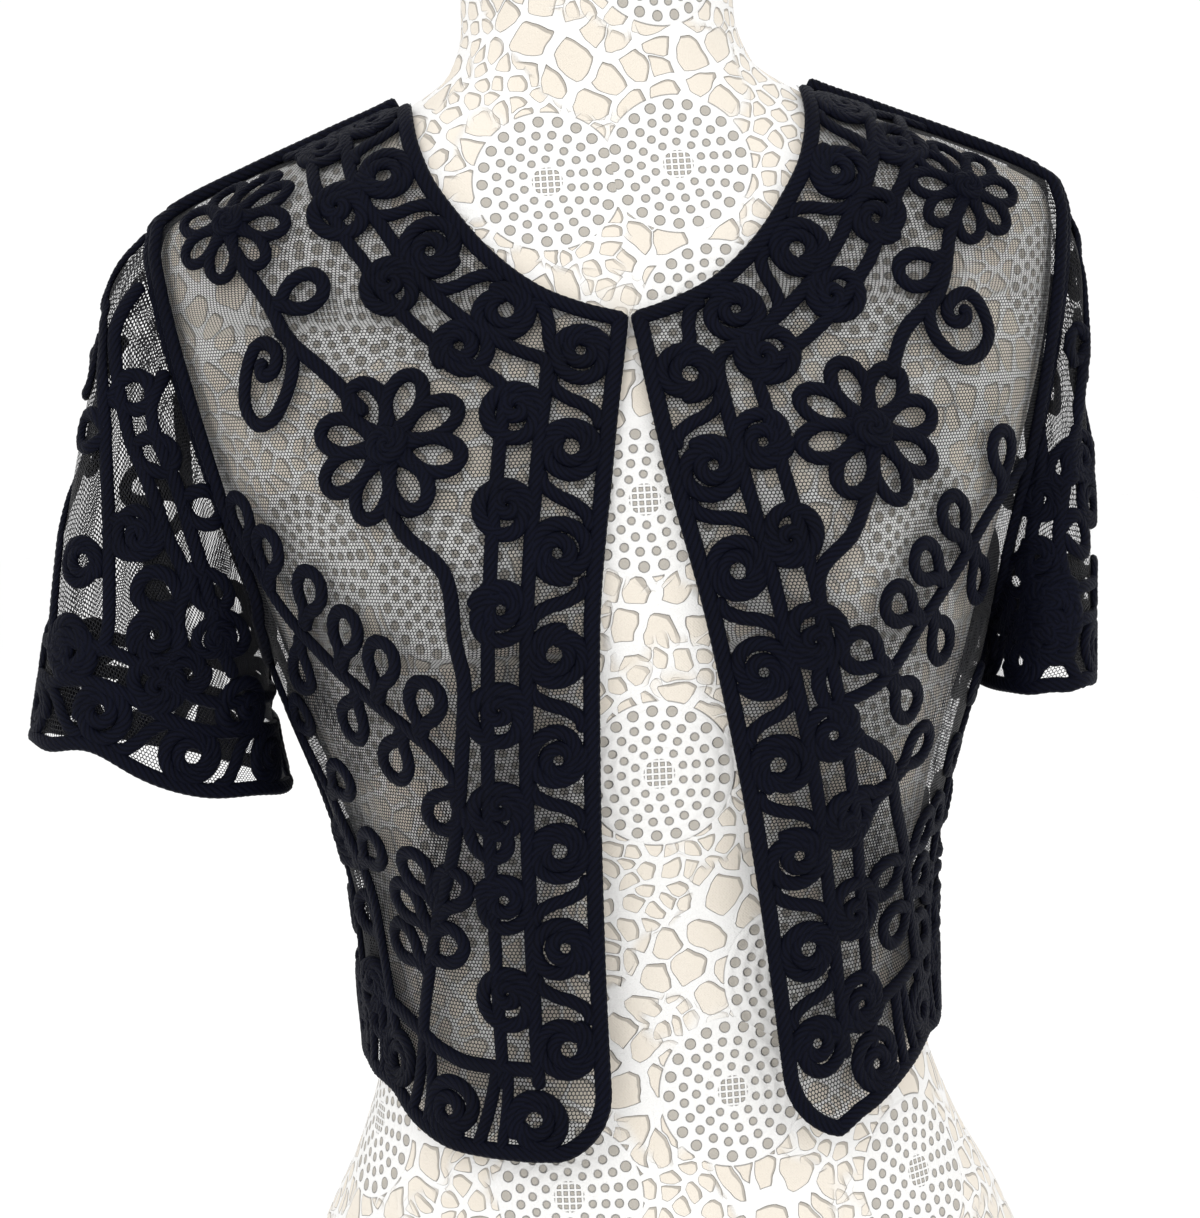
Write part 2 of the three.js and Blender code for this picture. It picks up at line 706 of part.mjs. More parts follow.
function cordWork(name, surface, parts, longest, material) {
  const joined = parts.reduce((sum, part) => sum.add(part));
  const mesh = joined.getMesh();
  const flat = [];
  for (let i = 0; i < mesh.vertProperties.length; i += mesh.numProp) {
    flat.push(Array.from(mesh.vertProperties.slice(i, i + 3)));
  }
  const place = ([u, v, height]) => {
    const f = frameOn(surface, u / surface.scale[0], v / surface.scale[1]);
    return f.point.addScaledVector(f.normal, CLOTH_WALL / 2 + surface.clearance + height);
  };
  const triangles = shortened(place, flat, Array.from(mesh.triVerts), longest);
  const positions = flat.flatMap((vertex) => place(vertex).toArray());
  return bodyMesh(name, positions, triangles, material);
}

// Routes and motifs of the fronts: angle round the body in degrees from the
// middle, and level
const FRONT_MOTIFS = {
  right: {
    daisies: [
      { angle: 52, z: 546, reach: 24 },
      { angle: 31, z: 457, reach: 31 },
    ],
    stems: [
      [[49.5, 537], [44, 515], [41.5, 499], [37, 485], [34, 474]],
      [[32.5, 443], [31.5, 424], [27.5, 409], [28, 385], [28, 365], [31.5, 334],
        [36.5, 302], [44, 272], [49, 238], [51, 218]],
      [[66, 425], [61, 398], [51.5, 376], [43, 359], [36, 344], [32, 328]],
    ],
    leaves: [
      [[43.5, 514], [38, 517]], [[42, 503], [47.5, 479]], [[62, 403], [54, 430]],
      [[55, 388], [47, 414]], [[47, 368], [42, 396]], [[39, 352], [34.5, 370]],
      [[55, 386], [60, 371]], [[42.5, 360], [47.5, 343]], [[34, 320], [29, 306]],
      [[42, 280], [49, 294]], [[44, 268], [38, 281]], [[46.5, 254], [54, 264]],
    ],
  },
  left: {
    daisies: [
      { angle: 46, z: 545, reach: 23 },
      { angle: 29, z: 453, reach: 31 },
    ],
    stems: [
      [[43.5, 537], [41, 528], [38.5, 505], [33.5, 490], [31, 471]],
      [[29, 438], [27, 415], [23, 401], [24.5, 376], [24.5, 357], [30.5, 340],
        [39.5, 326], [44.5, 304], [51.5, 280], [56, 252], [59, 232]],
      [[64, 436], [55, 420], [49, 400], [41.5, 379], [35, 359], [26, 350]],
    ],
    leaves: [
      [[40, 518], [35, 513]], [[38.5, 504], [44, 483]], [[57, 424], [52.5, 446]],
      [[50, 404], [42.5, 424]], [[44.5, 389], [36, 406]], [[38, 368], [30.5, 378]],
      [[49, 400], [54, 385]], [[38.3, 370], [44, 355]], [[41.5, 316], [34.5, 308]],
      [[50, 284], [57, 296]], [[52, 276], [45, 268]], [[55.5, 256], [62.5, 264]],
    ],
  },
};
const BACK_MOTIFS = {
  daisies: [{ angle: 145, z: 460, reach: 29 }, { angle: 215, z: 460, reach: 29 }],
  stems: [
    [[147, 446], [150, 425], [158, 390], [171, 350], [180, 318], [189, 350], [202, 390],
      [210, 425], [213, 446]],
    [[180, 322], [180, 236]],
  ],
  leaves: [
    [[157, 396], [148, 384]], [[203, 396], [212, 384]], [[180, 276], [171, 288]],
    [[180, 276], [189, 288]],
  ],
};
// Sleeve motifs: angle round the sleeve from its outer line, and share of the
// way from the armhole to the cuff
const SLEEVE_MOTIFS = {
  stems: [[[30, 0.9], [38, 0.6], [28, 0.42], [30, 0.18]], [[29, 0.4], [0, 0.28], [-30, 0.2]]],
  leaves: [
    [[36, 0.62], [52, 0.54]], [[36, 0.58], [18, 0.51]], [[29, 0.4], [46, 0.32]],
    [[-12, 0.24], [-22, 0.35]],
  ],
};

function bodyPlace(side, [angle, z]) {
  return [side * angle * DEGREE, z];
}

// Loop of cord that grows out of a stem and is centred on a place
function leaf(surface, root, centre) {
  const f = frameOn(surface, root[0], root[1]);
  const way = surface.point(...centre).sub(f.point);
  const turn = Math.atan2(way.dot(f.across), way.dot(f.up));
  const long = 2 * way.length();
  return cordLoop(surface, root, turn, long, Math.max(15, long * 0.62));
}

function motifParts(surface, motifs, place) {
  const parts = [];
  for (const { angle, z, reach } of motifs.daisies ?? []) {
    parts.push(daisy(surface, place([angle, z]), reach));
  }
  for (const stem of motifs.stems) parts.push(cordAlong(surface, stem.map(place)));
  for (const [root, centre] of motifs.leaves) parts.push(leaf(surface, place(root), place(centre)));
  return parts;
}

function neckPath() {
  const levels = [588, 580, 570, 560, 550, 541, 532, 524, 516, 510, 506];
  return levels.map((z) => [frontAngle(tableValue(NECKLINE, 'z', 'x', z), z), z]);
}

function frontPath(name) {
  const levels = [503, 490, 475, 460, 440, 420, 400, 380, 360, 340, 320, 300, 280, 260, 240, 222];
  return levels.map((z) => [frontAngle(frontEdge(name, z, HEM_FRONT), z), z]);
}

function cornerPath(name) {
  const heights = [20, 10, 4, 0.5];
  return heights.map((height) => {
    const z = HEM_FRONT + height;
    return [frontAngle(frontEdge(name, z, HEM_FRONT), z), z];
  });
}

function frontHemPath(name) {
  const start = frontAngle(frontEdge(name, HEM_FRONT, HEM_FRONT), HEM_FRONT) / DEGREE;
  const places = [];
  for (let angle = start + 3; angle < 88.5; angle += 5) {
    places.push([angle * DEGREE, tableValue(FRONT_HEM[name], 'angle', 'z', angle)]);
  }
  return places;
}

// Paths of the right front run the other way, so that left of them is inside
function sidePath(name, path) {
  if (name === 'left') return path;
  return path.map(([angle, z]) => [-angle, z]).reverse();
}

function frontBorder(name) {
  const neck = neckPath();
  const front = frontPath(name);
  const corner = cornerPath(name);
  const hem = frontHemPath(name);
  return [
    edgeCord(bodySurface, sidePath(name, [...neck, ...front, ...corner, ...hem])),
    ...coilBorder(bodySurface, sidePath(name, neck), 12),
    ...coilBorder(bodySurface, sidePath(name, front.slice(2)), 14),
    ...hemBand(bodySurface, sidePath(name, hem), 14),
  ];
}

function backNeckPath() {
  const places = [];
  for (let share = -0.94; share <= 0.941; share += 0.188) {
    places.push([Math.PI - share * 0.5 * Math.PI, NECK_POINT - BACK_NECK_DROP * (1 - share ** 4) - 0.5]);
  }
  return places;
}

function backHemPath() {
  const places = [];
  for (let angle = 91.5; angle <= 268.5; angle += 5.9) places.push([angle * DEGREE, BACK_LEVELS[0]]);
  return places;
}

function cuffPath(name) {
  const side = name === 'left' ? 1 : -1;
  const places = [];
  for (let angle = -152; angle <= 152.1; angle += 19) places.push([-side * angle * DEGREE, 1]);
  return places;
}

const netMaterial = new THREE.MeshStandardMaterial({ color: 0x2a2b33, roughness: 0.85, metalness: 0 });
const cordMaterial = new THREE.MeshStandardMaterial({ color: 0x0a0c18, roughness: 0.7, metalness: 0 });
const formMaterial = new THREE.MeshStandardMaterial({ color: 0xe9e4da, roughness: 0.8, metalness: 0 });

const sleeveSurfaces = { left: sleeveSurface('left'), right: sleeveSurface('right') };

const cardigan = new THREE.Group();
cardigan.add(dressForm(formMaterial));
for (const name of ['left', 'right']) {
  cardigan.add(clothWall(`front_${name}`, bodySurface, frontRows(name), false, netMaterial));
}
cardigan.add(clothWall('back', bodySurface, backRows(), false, netMaterial));
for (const name of ['left', 'right']) {
  cardigan.add(clothWall(`sleeve_${name}`, sleeveSurfaces[name], sleeveRows(), true, netMaterial));
}

for (const name of ['left', 'right']) {
  const side = name === 'left' ? 1 : -1;
  const sleeve = sleeveSurfaces[name];
  const cuff = cuffPath(name);
  const onFront = (place) => bodyPlace(side, place);
  const onSleeve = ([angle, t]) => [angle * DEGREE, t];
  cardigan.add(
    cordWork(`cord_front_${name}`, bodySurface,
      [...frontBorder(name), ...motifParts(bodySurface, FRONT_MOTIFS[name], onFront)],
      LONGEST_EDGE_ON_BODY, cordMaterial),
    cordWork(`cord_sleeve_${name}`, sleeve,
      [edgeCord(sleeve, cuff), ...coilBorder(sleeve, cuff, 12),
        ...motifParts(sleeve, SLEEVE_MOTIFS, onSleeve)],
      LONGEST_EDGE_ON_SLEEVE, cordMaterial),
  );
}
const onBack = (place) => bodyPlace(1, place);
const backNeck = backNeckPath();
const backHem = backHemPath();
cardigan.add(
  cordWork('cord_back_neck', bodySurface,
    [edgeCord(bodySurface, backNeck), ...coilBorder(bodySurface, backNeck, 12)],
    LONGEST_EDGE_ON_BODY, cordMaterial),
  cordWork('cord_back', bodySurface,
    [edgeCord(bodySurface, backHem), ...hemBand(bodySurface, backHem, 14),
      ...motifParts(bodySurface, BACK_MOTIFS, onBack)],
    LONGEST_EDGE_ON_BODY, cordMaterial),
);

export default cardigan;
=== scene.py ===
import math

import bpy
import numpy as np
from mathutils import Matrix, Vector


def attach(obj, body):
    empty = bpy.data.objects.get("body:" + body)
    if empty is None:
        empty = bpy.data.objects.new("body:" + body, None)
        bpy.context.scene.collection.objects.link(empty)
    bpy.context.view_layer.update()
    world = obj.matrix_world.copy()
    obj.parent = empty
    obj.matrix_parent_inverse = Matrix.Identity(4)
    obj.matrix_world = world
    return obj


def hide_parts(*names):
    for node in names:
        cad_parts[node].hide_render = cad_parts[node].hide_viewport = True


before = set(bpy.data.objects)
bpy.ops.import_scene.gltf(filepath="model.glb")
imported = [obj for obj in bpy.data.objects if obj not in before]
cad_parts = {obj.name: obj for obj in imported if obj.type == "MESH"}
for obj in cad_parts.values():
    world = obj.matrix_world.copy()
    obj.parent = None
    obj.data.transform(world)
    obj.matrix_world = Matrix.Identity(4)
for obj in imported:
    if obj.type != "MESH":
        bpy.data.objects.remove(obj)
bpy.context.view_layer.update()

# Sizes are in millimetres until a mesh is finished. +Z is up, the fronts face -Y
# and +X is the wearer's left, as in the CAD.
MM = 0.001
DEGREE = math.pi / 180
SIDE_SEAM = 90 * DEGREE
SIDE_OF = {"left": 1, "right": -1}

# Levels of the garment
UNDERARM = 375
SHOULDER_TIP = 552
NECK_POINT = 592
FRONT_NECK = 502
HEM_FRONT = 177
HEM_BLEND_TOP = 255
BACK_HEM = 206
BACK_NECK_DROP = 13
HEM_CORNER_RADIUS = 27
ARMHOLE_HALF_ANGLE = 21 * DEGREE
ARMHOLE_MIDDLE = (SHOULDER_TIP + UNDERARM) / 2
ARMHOLE_HALF = (SHOULDER_TIP - UNDERARM) / 2
ARMHOLE_POWER = 0.8
# The head of a sleeve lies just inside the armhole, and its cord just outside
SLEEVE_HEAD_SCALE = (0.985, 0.985)
ARMHOLE_CORD_SCALE = (1.02, 1.01)

# Dress form: level, half width, depth in front and behind, squareness
FORM_SECTIONS = [
    (0, 170, 100, 118, 2.2), (70, 163, 100, 116, 2.2), (126, 144, 97, 104, 2.2),
    (165, 125, 92, 91, 2.2), (200, 114, 88, 83, 2.2), (232, 111, 87, 80, 2.2),
    (270, 113, 90, 80, 2.2), (310, 121, 98, 84, 2.3), (355, 136, 107, 89, 2.3),
    (400, 149, 112, 94, 2.4), (440, 163, 108, 98, 2.5), (480, 175, 93, 99, 2.5),
    (510, 181, 79, 95, 2.5), (534, 183, 70, 87, 2.4), (546, 180, 65, 81, 2.3),
    (554, 168, 62, 77, 2.3), (566, 141, 57, 70, 2.2), (579, 109, 53, 62, 2.1),
    (592, 78, 50, 56, 2), (604, 62, 48, 53, 2), (622, 56, 48, 52, 2), (668, 55, 50, 53, 2),
]
# Room between the form and the cloth: level, side, front, back
EASE = [
    (150, 7, 14, 8), (200, 6, 14, 8), (232, 9, 14, 9), (270, 8, 13, 9), (310, 8, 9, 8),
    (355, 8, 6, 6), (400, 6, 4, 5), (440, 5, 3, 4), (480, 4.4, 3, 3.4), (534, 4, 2.8, 3),
    (550, 4.2, 2.9, 3.2), (600, 4, 2.8, 2.8),
]
BUST = {"x": 76, "z": 402, "wide": 36, "tall": 44, "hang": 115, "lift": 17}

# Hanging folds: angle round the body, width in degrees, depth, low and high level,
# and how far the fold leans round the body over its height; the first few are wide
WIDE_FOLDS = 4
FOLDS = [
    (64, 11, 2.2, 150, 330, 0), (-61, 12, 2.2, 150, 340, 0),
    (138, 13, 2.4, 160, 320, 0), (221, 13, 2.6, 160, 330, 0),
    (72, 2.6, 1.3, 200, 330, 7), (77, 2.2, -1.1, 210, 340, 6), (82, 2.4, 1.2, 200, 330, 4),
    (-70, 2.6, 1.4, 205, 345, -8), (-75, 2.2, -1.2, 200, 330, -5), (-81, 2.6, 1.3, 205, 340, -3),
    (100, 2.6, 1.2, 200, 320, -4), (112, 3.0, -1.1, 215, 330, -6), (-103, 2.6, 1.3, 210, 330, 4),
    (-118, 3.0, 1.1, 200, 320, 6), (60, 2.8, 1.0, 330, 400, 13), (66, 2.4, -0.9, 340, 410, 11),
    (-60, 2.8, 1.0, 330, 405, -13), (-67, 2.4, -1.0, 335, 400, -11),
    (166, 3.2, 1.0, 300, 420, 5), (198, 3.4, 1.1, 280, 410, -6), (178, 2.8, -0.8, 215, 300, 3),
    (40, 3.0, 0.7, 250, 330, -6), (-42, 3.0, 0.8, 245, 335, 6),
]

# Front edges and necklines: level, distance from the middle of the body
FRONT_EDGE = {
    "left": [(150, 46), (217, 42), (300, 34), (383, 21), (446, 8), (500, 0.6)],
    "right": [(150, 24), (217, 24), (300, 23), (383, 20), (446, 11), (500, 0.6)],
}
NECKLINE = [
    (502, 0.6), (506, 15), (514, 33), (528, 50), (543, 62), (562, 73), (578, 77), (592, 78),
]
# Front hems: angle round the body, level
FRONT_HEM = {
    "left": [(24, 177), (38, 185), (52, 196), (65, 203), (90, 206)],
    "right": [(20, 177), (40, 180), (52, 187), (65, 198), (90, 206)],
}

SLEEVES = {
    "right": {"out": 197, "back": 2, "z": 328, "tilt": 15, "wide": 53, "deep": 46},
    "left": {"out": 167, "back": 8, "z": 342, "tilt": 3, "wide": 21.5, "deep": 64},
}
SLEEVE_FULLNESS = {
    "right": [(0, 0), (0.12, 13), (0.3, 12), (0.6, 8), (1, 0)],
    "left": [(0, 0), (0.12, 7), (0.3, 6), (0.6, 5), (1, 0)],
}
SLEEVE_FOLD_DEPTH = 1.5
SLEEVE_UNDERARM_ROOM = 3
# Gathers that run down from the armhole: angle round the sleeve, width, depth, reach
SLEEVE_GATHERS = [
    (8, 5, 1.5, 0.5), (24, 4, -1.2, 0.42), (41, 5, 1.6, 0.6), (57, 4, -1.3, 0.38), (73, 5, 1.4, 0.55),
    (92, 5, -1.2, 0.4), (112, 6, 1.3, 0.5), (-12, 5, -1.3, 0.4), (-30, 5, 1.5, 0.55),
    (-52, 5, -1.1, 0.4), (-74, 6, 1.4, 0.5), (-101, 6, -1.1, 0.45),
]
# Where the edge of a cuff dips or rises: angle round the sleeve, width, share of its length
CUFF_WAVES = {"right": [(66, 22, -0.032), (106, 24, 0.03)], "left": []}

# Section of a cord: places across it and heights, round from one edge to the other
CORD_SECTION = [
    (-2.7, 0.0), (-3.1, 0.9), (-2.3, 2.1), (-0.85, 2.55), (0.85, 2.55), (2.3, 2.1), (3.1, 0.9), (2.7, 0.0),
]
CORD_GIRTH = 14.4
CORD_STEP = 1.1
CORD_LIFT = 0.25
TWIST = 3.3
NET_CELL = 1.5
BACK_MAP_SHIFT = [700, 0]


def table_value(rows, column, at):
    """Value of one column of a table between its rows, without overshoot."""
    keys = np.array([row[0] for row in rows], float)
    values = np.array([row[column] for row in rows], float)
    grade = np.diff(values) / np.diff(keys)
    product = grade[:-1] * grade[1:]
    total = np.where(product > 0, grade[:-1] + grade[1:], 1)
    middle = np.where(product > 0, 2 * product / total, 0)
    slope = np.concatenate([grade[:1], middle, grade[-1:]])
    at = np.clip(np.asarray(at, float), keys[0], keys[-1])
    i = np.clip(np.searchsorted(keys, at, side="right") - 1, 0, len(keys) - 2)
    width = keys[i + 1] - keys[i]
    f = (at - keys[i]) / width
    rest = 1 - f
    low = values[i] * (1 + 2 * f) * rest * rest + slope[i] * width * f * rest * rest
    high = values[i + 1] * f * f * (3 - 2 * f) - slope[i + 1] * width * f * f * rest
    return low + high


def bell(distance, width):
    """One at no distance, falling off smoothly over about this width."""
    return np.exp(-((distance / width) ** 2))


def wrapped(angle):
    """The same angle, between minus half a turn and half a turn."""
    return np.arctan2(np.sin(angle), np.cos(angle))


def unit(way):
    """The same ways, each of length one."""
    return way / np.linalg.norm(way, axis=-1, keepdims=True)


def lengths_along(points):
    """Length of a line of points in space, up to each of them."""
    return np.concatenate([[0], np.cumsum(np.linalg.norm(np.diff(points, axis=0), axis=-1))])


def section_point(side, front, back, square, angle):
    """Place on a squarish oval; angle zero is the middle of the front."""
    s = np.sin(angle)
    c = np.cos(angle)
    reach = (np.abs(s) ** square + np.abs(c) ** square) ** (-1 / square)
    depth = np.where(c > 0, front, back)
    return side * s * reach, -depth * c * reach


def bust_lift(x, y, z, fall):
    """How far the bust stands forward; below it, the lift fades over the fall."""
    tall = np.where(z < BUST["z"], fall, BUST["tall"])
    lift = BUST["lift"] * bell(np.abs(x) - BUST["x"], BUST["wide"]) * bell(z - BUST["z"], tall)
    return np.where(y > 0, 0, lift)


def near_folds(angle, z, folds, widen=1.0):
    """For each fold, its depth and how near a place is to it, round the body and in height."""
    for middle, wide, deep, low, high, lean in folds:
        half = (high - low) / 2
        off = z - (low + high) / 2
        centre = (middle + lean * off / half) * DEGREE
        yield deep, bell(wrapped(angle - centre), widen * wide * DEGREE), bell(off, half)


def fold_depth(angle, z):
    """Depth of all the hanging folds at a place."""
    total = np.zeros(np.broadcast(angle, z).shape)
    for deep, near, level in near_folds(angle, z, FOLDS):
        total = total + deep * near * level
    return total


def form_point(angle, z):
    """Skin of the dress form, by angle round it and level."""
    row = [table_value(FORM_SECTIONS, column, z) for column in (1, 2, 3, 4)]
    x, y = section_point(*row, angle)
    return np.stack([x, y - bust_lift(x, y, z, BUST["tall"]), z + 0 * x], axis=-1)


def cloth_point(angle, z):
    """Middle of the cloth of the body, by angle round it and level."""
    angle, z = np.broadcast_arrays(np.asarray(angle, float), np.asarray(z, float))
    row = [table_value(FORM_SECTIONS, column, z) for column in (1, 2, 3, 4)]
    for column in (1, 2, 3):
        row[column - 1] = row[column - 1] + table_value(EASE, column, z)
    x, y = section_point(*row, angle)
    shrink = 1 - fold_depth(angle, z) / np.hypot(x, y)
    y = y * shrink - bust_lift(x, y, z, BUST["hang"])
    return np.stack([x * shrink, y, z], axis=-1)


def front_angle(x, z):
    """Angle at which the front of the cloth is this far from the middle plane."""
    x, z = np.broadcast_arrays(np.asarray(x, float), np.asarray(z, float))
    low = np.zeros(z.shape)
    high = np.full(z.shape, SIDE_SEAM)
    for _ in range(32):
        middle = (low + high) / 2
        inside = cloth_point(middle, z)[..., 0] < x
        low = np.where(inside, middle, low)
        high = np.where(inside, high, middle)
    return (low + high) / 2


def armhole_angle(z):
    """Angle of the front edge of the armhole at a level, or of the side seam elsewhere."""
    off = np.clip(np.abs((np.asarray(z, float) - ARMHOLE_MIDDLE) / ARMHOLE_HALF), 0, 1)
    return SIDE_SEAM - ARMHOLE_HALF_ANGLE * np.sqrt(1 - off * off) ** ARMHOLE_POWER


def armhole_outline(turns, wide, tall):
    """Angles and levels round an armhole, made wider and taller by these."""
    s = np.sin(turns)
    angle = SIDE_SEAM - wide * ARMHOLE_HALF_ANGLE * np.sign(s) * np.abs(s) ** ARMHOLE_POWER
    return angle, ARMHOLE_MIDDLE + tall * ARMHOLE_HALF * np.cos(turns)


def frame_on(surface, p, q):
    """Point, outward normal and tangents of a surface."""
    dp, dq = (0.5 / scale for scale in surface["scale"])
    point = surface["point"]
    along_p = (point(p + dp, q) - point(p - dp, q)) / (2 * dp)
    along_q = (point(p, q + dq) - point(p, q - dq)) / (2 * dq)
    normal = unit(surface["turn"] * np.cross(along_p, along_q))
    across = unit(along_p)
    up = np.cross(normal, across)
    return point(p, q), normal, across, up, along_p, along_q


def in_space(surface, line):
    """Points of a line of surface coordinates."""
    return surface["point"](line[:, 0], line[:, 1])


def step_on(surface, p, q, over, up_by):
    """Coordinates reached by going so far across and up a surface."""
    steps = 3
    for _ in range(steps):
        _, _, across, up, along_p, along_q = frame_on(surface, p, q)
        move = across * (over / steps)[..., None] + up * (up_by / steps)[..., None]
        e = np.sum(along_p * along_p, axis=-1)
        m = np.sum(along_p * along_q, axis=-1)
        g = np.sum(along_q * along_q, axis=-1)
        a = np.sum(move * along_p, axis=-1)
        b = np.sum(move * along_q, axis=-1)
        det = e * g - m * m
        p = p + (a * g - b * m) / det
        q = q + (b * e - a * m) / det
    return p, q


BODY = {"point": cloth_point, "scale": (140, 1), "turn": 1}


def flattened(value):
    """Part of a section's reach that makes it boxy when added to a circle."""
    return value * (1.5 - 0.5 * value * value)


def near_gathers(around, t, widen=1.0):
    """For each gather of a sleeve, its depth and how near a place is, round the sleeve and down it."""
    for middle, width, deep, reach in SLEEVE_GATHERS:
        near = bell(wrapped(around - middle * DEGREE), widen * width * DEGREE)
        yield deep, near, np.exp(-((t / reach) ** 2))


def sleeve_surface(name):
    """Sleeve by angle round it from its outer line, and share of the way to the cuff."""
    side = SIDE_OF[name]
    cuff = SLEEVES[name]
    turns = np.linspace(-np.pi, np.pi, 721)
    open_angle, heads = armhole_outline(turns, *SLEEVE_HEAD_SCALE)
    head, outward = frame_on(BODY, side * open_angle, heads)[:2]
    head = head + 0.7 * outward

    def point(around, t):
        around, t = np.broadcast_arrays(np.asarray(around, float), np.asarray(t, float))
        start = np.stack([np.interp(wrapped(around), turns, head[:, k]) for k in range(3)], axis=-1)
        c = np.cos(around)
        s = np.sin(around)
        round_part = min(cuff["wide"], cuff["deep"])
        wide = round_part * c + (cuff["wide"] - round_part) * flattened(c)
        deep = round_part * s + (cuff["deep"] - round_part) * flattened(s)
        tilt = cuff["tilt"] * DEGREE
        end = np.stack([
            side * (cuff["out"] + wide * np.cos(tilt)), cuff["back"] - deep,
            cuff["z"] + wide * np.sin(tilt),
        ], axis=-1)
        full = table_value(SLEEVE_FULLNESS[name], 1, t)
        swell = 4 * t * (1 - t)
        outer = (1 + c) / 2
        push = full * outer + SLEEVE_FOLD_DEPTH * np.sin(4 * around + side) * swell * outer
        for deep_by, near, fall in near_gathers(around, t):
            push = push + deep_by * near * (np.clip(t / 0.06, 0, 1) * fall)
        clear = SLEEVE_UNDERARM_ROOM * swell * (1 - outer)
        shove = np.stack([side * (c * push + clear), -s * push, 0 * c], axis=-1)
        return start + (end - start) * t[..., None] + shove

    return {"point": point, "scale": (55, 190), "turn": side}


SLEEVE_SURFACES = {name: sleeve_surface(name) for name in ("left", "right")}


# Making meshes


def clear_selection():
    """Nothing stays selected."""
    bpy.ops.object.select_all(action="DESELECT")


def merge_edges():
    """In edit mode, points that lie on one another become one."""
    bpy.ops.object.mode_set(mode="EDIT")
    bpy.ops.mesh.select_all(action="SELECT")
    bpy.ops.mesh.remove_doubles(threshold=1e-6)


def grid_piece(name, place, flat, solid=False):
    """A flat grid whose points are moved to their places, and its map laid in mm."""
    rows, columns = place.shape[:2]
    clear_selection()
    bpy.ops.mesh.primitive_grid_add(x_subdivisions=columns - 1, y_subdivisions=rows - 1, size=2)
    piece = bpy.context.object
    piece.name = name
    mesh = piece.data
    mesh.name = name
    corners = np.empty(len(mesh.loops), int)
    mesh.loops.foreach_get("vertex_index", corners)
    mesh.uv_layers[0].data.foreach_set("uv", flat.reshape(-1, 2)[corners].ravel())
    mesh.vertices.foreach_set("co", (place * MM).ravel())
    mesh.update()
    if solid:
        merge_edges()
        bpy.ops.mesh.select_all(action="SELECT")
        bpy.ops.mesh.fill_holes(sides=0)
        bpy.ops.mesh.select_all(action="SELECT")
        bpy.ops.mesh.normals_make_consistent(inside=False)
        bpy.ops.object.mode_set(mode="OBJECT")
    bpy.ops.object.shade_smooth()
    return piece


def joined(name, parts):
    """One piece made of all the parts."""
    clear_selection()
    for part in parts:
        part.select_set(True)
    bpy.context.view_layer.objects.active = parts[0]
    bpy.ops.object.join()
    whole = bpy.context.object
    whole.name = name
    whole.data.name = name
    return whole


def smooth_line(points, closed=False, fine=14):
    """Dense curve through points of two coordinates."""
    points = np.asarray(points, float)
    if closed:
        points = np.concatenate([points[-1:], points, points[:2]])
    else:
        first = 2 * points[:1] - points[1:2]
        last = 2 * points[-1:] - points[-2:-1]
        points = np.concatenate([first, points, last])
    t = np.linspace(0, 1, fine, endpoint=False)[:, None]
    found = []
    for a, b, c, d in zip(points[:-3], points[1:-2], points[2:-1], points[3:]):
        found.append(0.5 * (2 * b + (c - a) * t + (2 * a - 5 * b + 4 * c - d) * t ** 2
                            + (3 * b - a - 3 * c + d) * t ** 3))
    found.append(points[-2][None])
    return np.concatenate(found)


def spaced(places, coordinates, step):
    """Coordinates at equal steps along a line whose points in space are given."""
    along = lengths_along(places)
    count = max(4, int(round(along[-1] / step)) + 1)
    wanted = np.linspace(0, along[-1], count)
    columns = [np.interp(wanted, along, coordinates[:, k]) for k in range(coordinates.shape[1])]
    return np.stack(columns, axis=-1), wanted


def cord_rows(points, normals, along, width, height):
    """Points of a twisted cord's skin, row by row along it, finer at both ends."""
    way = np.gradient(points, axis=0)
    left = unit(np.cross(normals, way))
    columns = []
    ends = np.minimum(along, along[-1] - along)
    taper = np.clip(0.45 + ends / 2.4, 0, 1)
    for over, rise in CORD_SECTION + CORD_SECTION[:1]:
        wave = np.cos(2 * np.pi * (along / TWIST + 0.16 * over))
        swell = 1 + 0.03 * wave
        lifted = rise * (1 + 0.06 * wave) * height * (0.6 + 0.4 * taper)
        columns.append(points + left * (over * swell * width * taper)[:, None]
                       + normals * (CORD_LIFT + lifted)[:, None])
    return np.stack(columns)


def cord_piece(name, points, normals, along, width, height):
    """Closed mesh of a cord, mapped along and around it in mm."""
    place = cord_rows(points, normals, along, width, height)
    around = np.linspace(0, CORD_GIRTH, len(place))[:, None] + 0 * along
    flat = np.stack([along + 0 * around, around], axis=-1)
    return grid_piece(name, place, flat, solid=True)


def cord_on(surface, line, width=1.0, height=1.0):
    """Cord laid along surface coordinates."""
    coordinates, along = spaced(in_space(surface, line), line, CORD_STEP)
    point, normal = frame_on(surface, coordinates[:, 0], coordinates[:, 1])[:2]
    return cord_piece("cord", point, normal, along, width, height)


def flat_cord(name, line, width=1.0, height=1.0):
    """Cord laid on a table along a line in the plane, to be set on the cloth later."""
    line = np.asarray(line, float)
    points, along = spaced(np.pad(line, ((0, 0), (0, 1))), line, CORD_STEP)
    normals = np.tile([0.0, 0.0, 1.0], (len(points), 1))
    return cord_piece(name, np.pad(points, ((0, 0), (0, 1))), normals, along, width, height)


